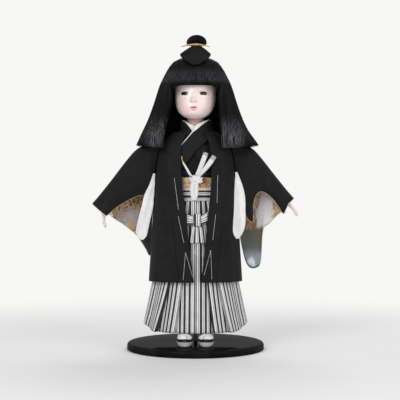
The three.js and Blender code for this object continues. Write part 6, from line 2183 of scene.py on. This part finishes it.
def loop_route(count, out=0.0, depth=0.0):
    path = []
    for k in range(count + 1):
        angle = math.pi * k / count
        reach = loop_half - LOOP_RADIUS * 0.62 + out
        path.append(Vector((KNOT_SIDEWAYS - reach * math.cos(angle), HEAD_SET_BACK + depth,
                            loop_bottom + 1.9 + (loop_rise - 1.6
                                                 + out) * max(math.sin(angle), 0.0) ** 0.9)))
    return path


loop_piece = tube("topknot_loop_hair", loop_route(16), loop_reach, hair_silk,
                  sides=40, steps=64, flat=LOOP_FLAT)
bar = tube("topknot_loop_base", [Vector((KNOT_SIDEWAYS + loop_half * k * 0.86, HEAD_SET_BACK,
                                         loop_bottom + 2.4)) for k in (-1, -0.5, 0, 0.5, 1)],
           lambda t: 4.2 - 2.2 * abs(2 * t - 1), hair_silk, sides=32, steps=30)
loop_strands = []
for _ in range(LOOP_STRANDS):
    turn = chance.uniform(0, 2 * math.pi)
    path = loop_route(14)
    strand_path = []
    for k, at in enumerate(path):
        t = k / 14
        reach = loop_reach(t) * 1.02
        angle = math.pi * t
        normal = Vector((-math.cos(angle), 0, math.sin(angle)))
        strand_path.append(at + normal * (reach * math.cos(turn))
                           + Vector((0, reach * LOOP_FLAT * math.sin(turn), 0)))
    loop_strands.append(strand_path)
loop_hair = strands("topknot_loop_strands", loop_strands, LOOP_STRAND_RADIUS)
for piece in (loop_piece, bar, loop_hair):
    placed(piece, "head", "hair", "topknot_loop")

TAIL_STRANDS = 700
TAIL_STRAND_RADIUS = 0.3
TIE_RADIUS = 0.62
TAIL_REACH = 46.0
TAIL_DROP = 32.0
TAIL_DROOP = 4.0
TAIL_FORWARD = 33.0
TAIL_SPREAD = math.radians(52.0)
TAIL_SHARES = [0.64, 0.76, 0.88, 1, 0.88, 0.76, 0.64]
tail_root = HEAD_SET_BACK - ROOT_HALF_DEPTH - SEAT
tail_thick = 2.6


def tail_shape(u, v, lift=0.0):
    angle = TAIL_SPREAD * (2 * u - 1)
    reach = TAIL_REACH * evenly_at(TAIL_SHARES, u) * (1 - v)
    across = ROOT_HALF_WIDTH * 0.72 * (2 * u - 1) * v + reach * math.sin(angle)
    along = max(reach * math.cos(angle) / TAIL_REACH, 0.0)
    return Vector((KNOT_SIDEWAYS * v + across, tail_root - TAIL_FORWARD * along ** 0.9,
                   root_top - tail_thick - TAIL_DROP * along ** 1.2 - TAIL_DROOP * (
                       2 * u - 1) ** 2 * (1 - v) + lift))


tail = laid("topknot_tail_hair", lambda u, v: tail_shape(u, v, 0.3), 60, 20, hair_silk, (50, 46))
tail = baked(thick(tail, tail_thick - 0.9, offset=1.0))
tail_paths = []
for _ in range(TAIL_STRANDS):
    u = chance.uniform(0.0, 1.0)
    lift = chance.uniform(1.4, 2.8)
    cut_at = chance.gauss(0.0, 0.012)
    tail_paths.append([tail_shape(u, 1.0 - (1.0 - cut_at) * k / 8, lift) for k in range(9)])
tail_hair = strands("topknot_tail_strands", tail_paths, TAIL_STRAND_RADIUS)
for piece in (tail, tail_hair):
    placed(piece, "head", "hair", "topknot_tail")

tie_middle = (tie_low + tie_high) / 2
tie_half = (tie_high.x - tie_low.x) / 2 / MM
tie_y = tie_middle.y / MM
for k, (lift, forward) in enumerate(((-1.0, 0.0), (0.0, -0.5), (1.0, 0.0))):
    route_points = [Vector((tie_half * share, tie_y + forward, tie_high.z / MM - BOARD_THICK - 2.0
                            + lift * (1 - abs(share)) - 3.4 * share ** 2))
                    for share in (-1, -0.75, -0.5, -0.25, 0, 0.25, 0.5, 0.75, 1)]
    cord = tube(f"topknot_tie_{k + 1}", route_points, TIE_RADIUS, gold_thread, sides=10, steps=60)
    placed(cord, "head", "gold_cord", "topknot_tie")
print("topknot pieces: 9")

# %% [markdown]
# The floor is a plain pale plane under the board. Its material is white to the camera and to
# mirror rays and stays a soft grey for bounced light, so the background is white without more
# light on the doll, and the doll's shadow still falls on it.

# %% Floor and world
def pale_floor():
    made, tree, shader = material("pale_floor", Roughness=0.9, Specular_IOR_Level=0.1)
    place = object_place(tree)
    soft = use(tree, mottle, {"Place": place, "Scale": 6.0})
    wired(shader, Base_Color=blended(tree, soft["Tone"], grey(0.78), grey(0.82)))
    away = add(tree, "VectorMath", {"operation": "LENGTH"}, {0: place}).outputs["Value"]
    far = between(tree, away, 0.3, 0.9)
    path = add(tree, "LightPath").outputs
    seen = sums(tree, "MAXIMUM", path["Is Camera Ray"],
                sums(tree, "MAXIMUM", path["Is Glossy Ray"], path["Is Transmission Ray"]))
    plain = add(tree, "Emission", values={"Color": (0.93, 0.93, 0.92, 1), "Strength": 1.0})
    mixed = add(tree, "MixShader", values={0: sums(tree, "MULTIPLY", seen, far),
                                           1: shader.outputs[0], 2: plain.outputs[0]})
    tree.links.new(mixed.outputs[0], tree.nodes["Material Output"].inputs["Surface"])
    return made


floor_shape = bmesh.new()
bmesh.ops.create_grid(floor_shape, x_segments=8, y_segments=8, size=4.0)
floor = finished("floor", floor_shape, pale_floor(), smooth=False)
floor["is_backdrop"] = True

world = bpy.data.worlds.new("studio")
bpy.context.scene.world = world
world.use_nodes = True
tree = world.node_tree
tree.nodes.clear()
path = add(tree, "LightPath").outputs
seen = sums(tree, "MAXIMUM", path["Is Camera Ray"],
            sums(tree, "MAXIMUM", path["Is Glossy Ray"], path["Is Transmission Ray"]))
room = add(tree, "Background", values={"Color": grey(1.0), "Strength": 0.55})
backdrop = add(tree, "Background", values={"Color": (0.93, 0.93, 0.92, 1), "Strength": 1.0})
mixed = add(tree, "MixShader", values={0: seen, 1: room.outputs[0], 2: backdrop.outputs[0]})
tree.links.new(mixed.outputs[0], add(tree, "OutputWorld").inputs["Surface"])
print("floor and world ready")

# %% Sizes and finish
visual_box = [list(corner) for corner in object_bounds()]
for label, (low, high) in (("cad", cad_box), ("visual", visual_box)):
    print(label, [round(high[k] - low[k], 4) for k in range(3)])
print("pieces:", len(made_pieces))
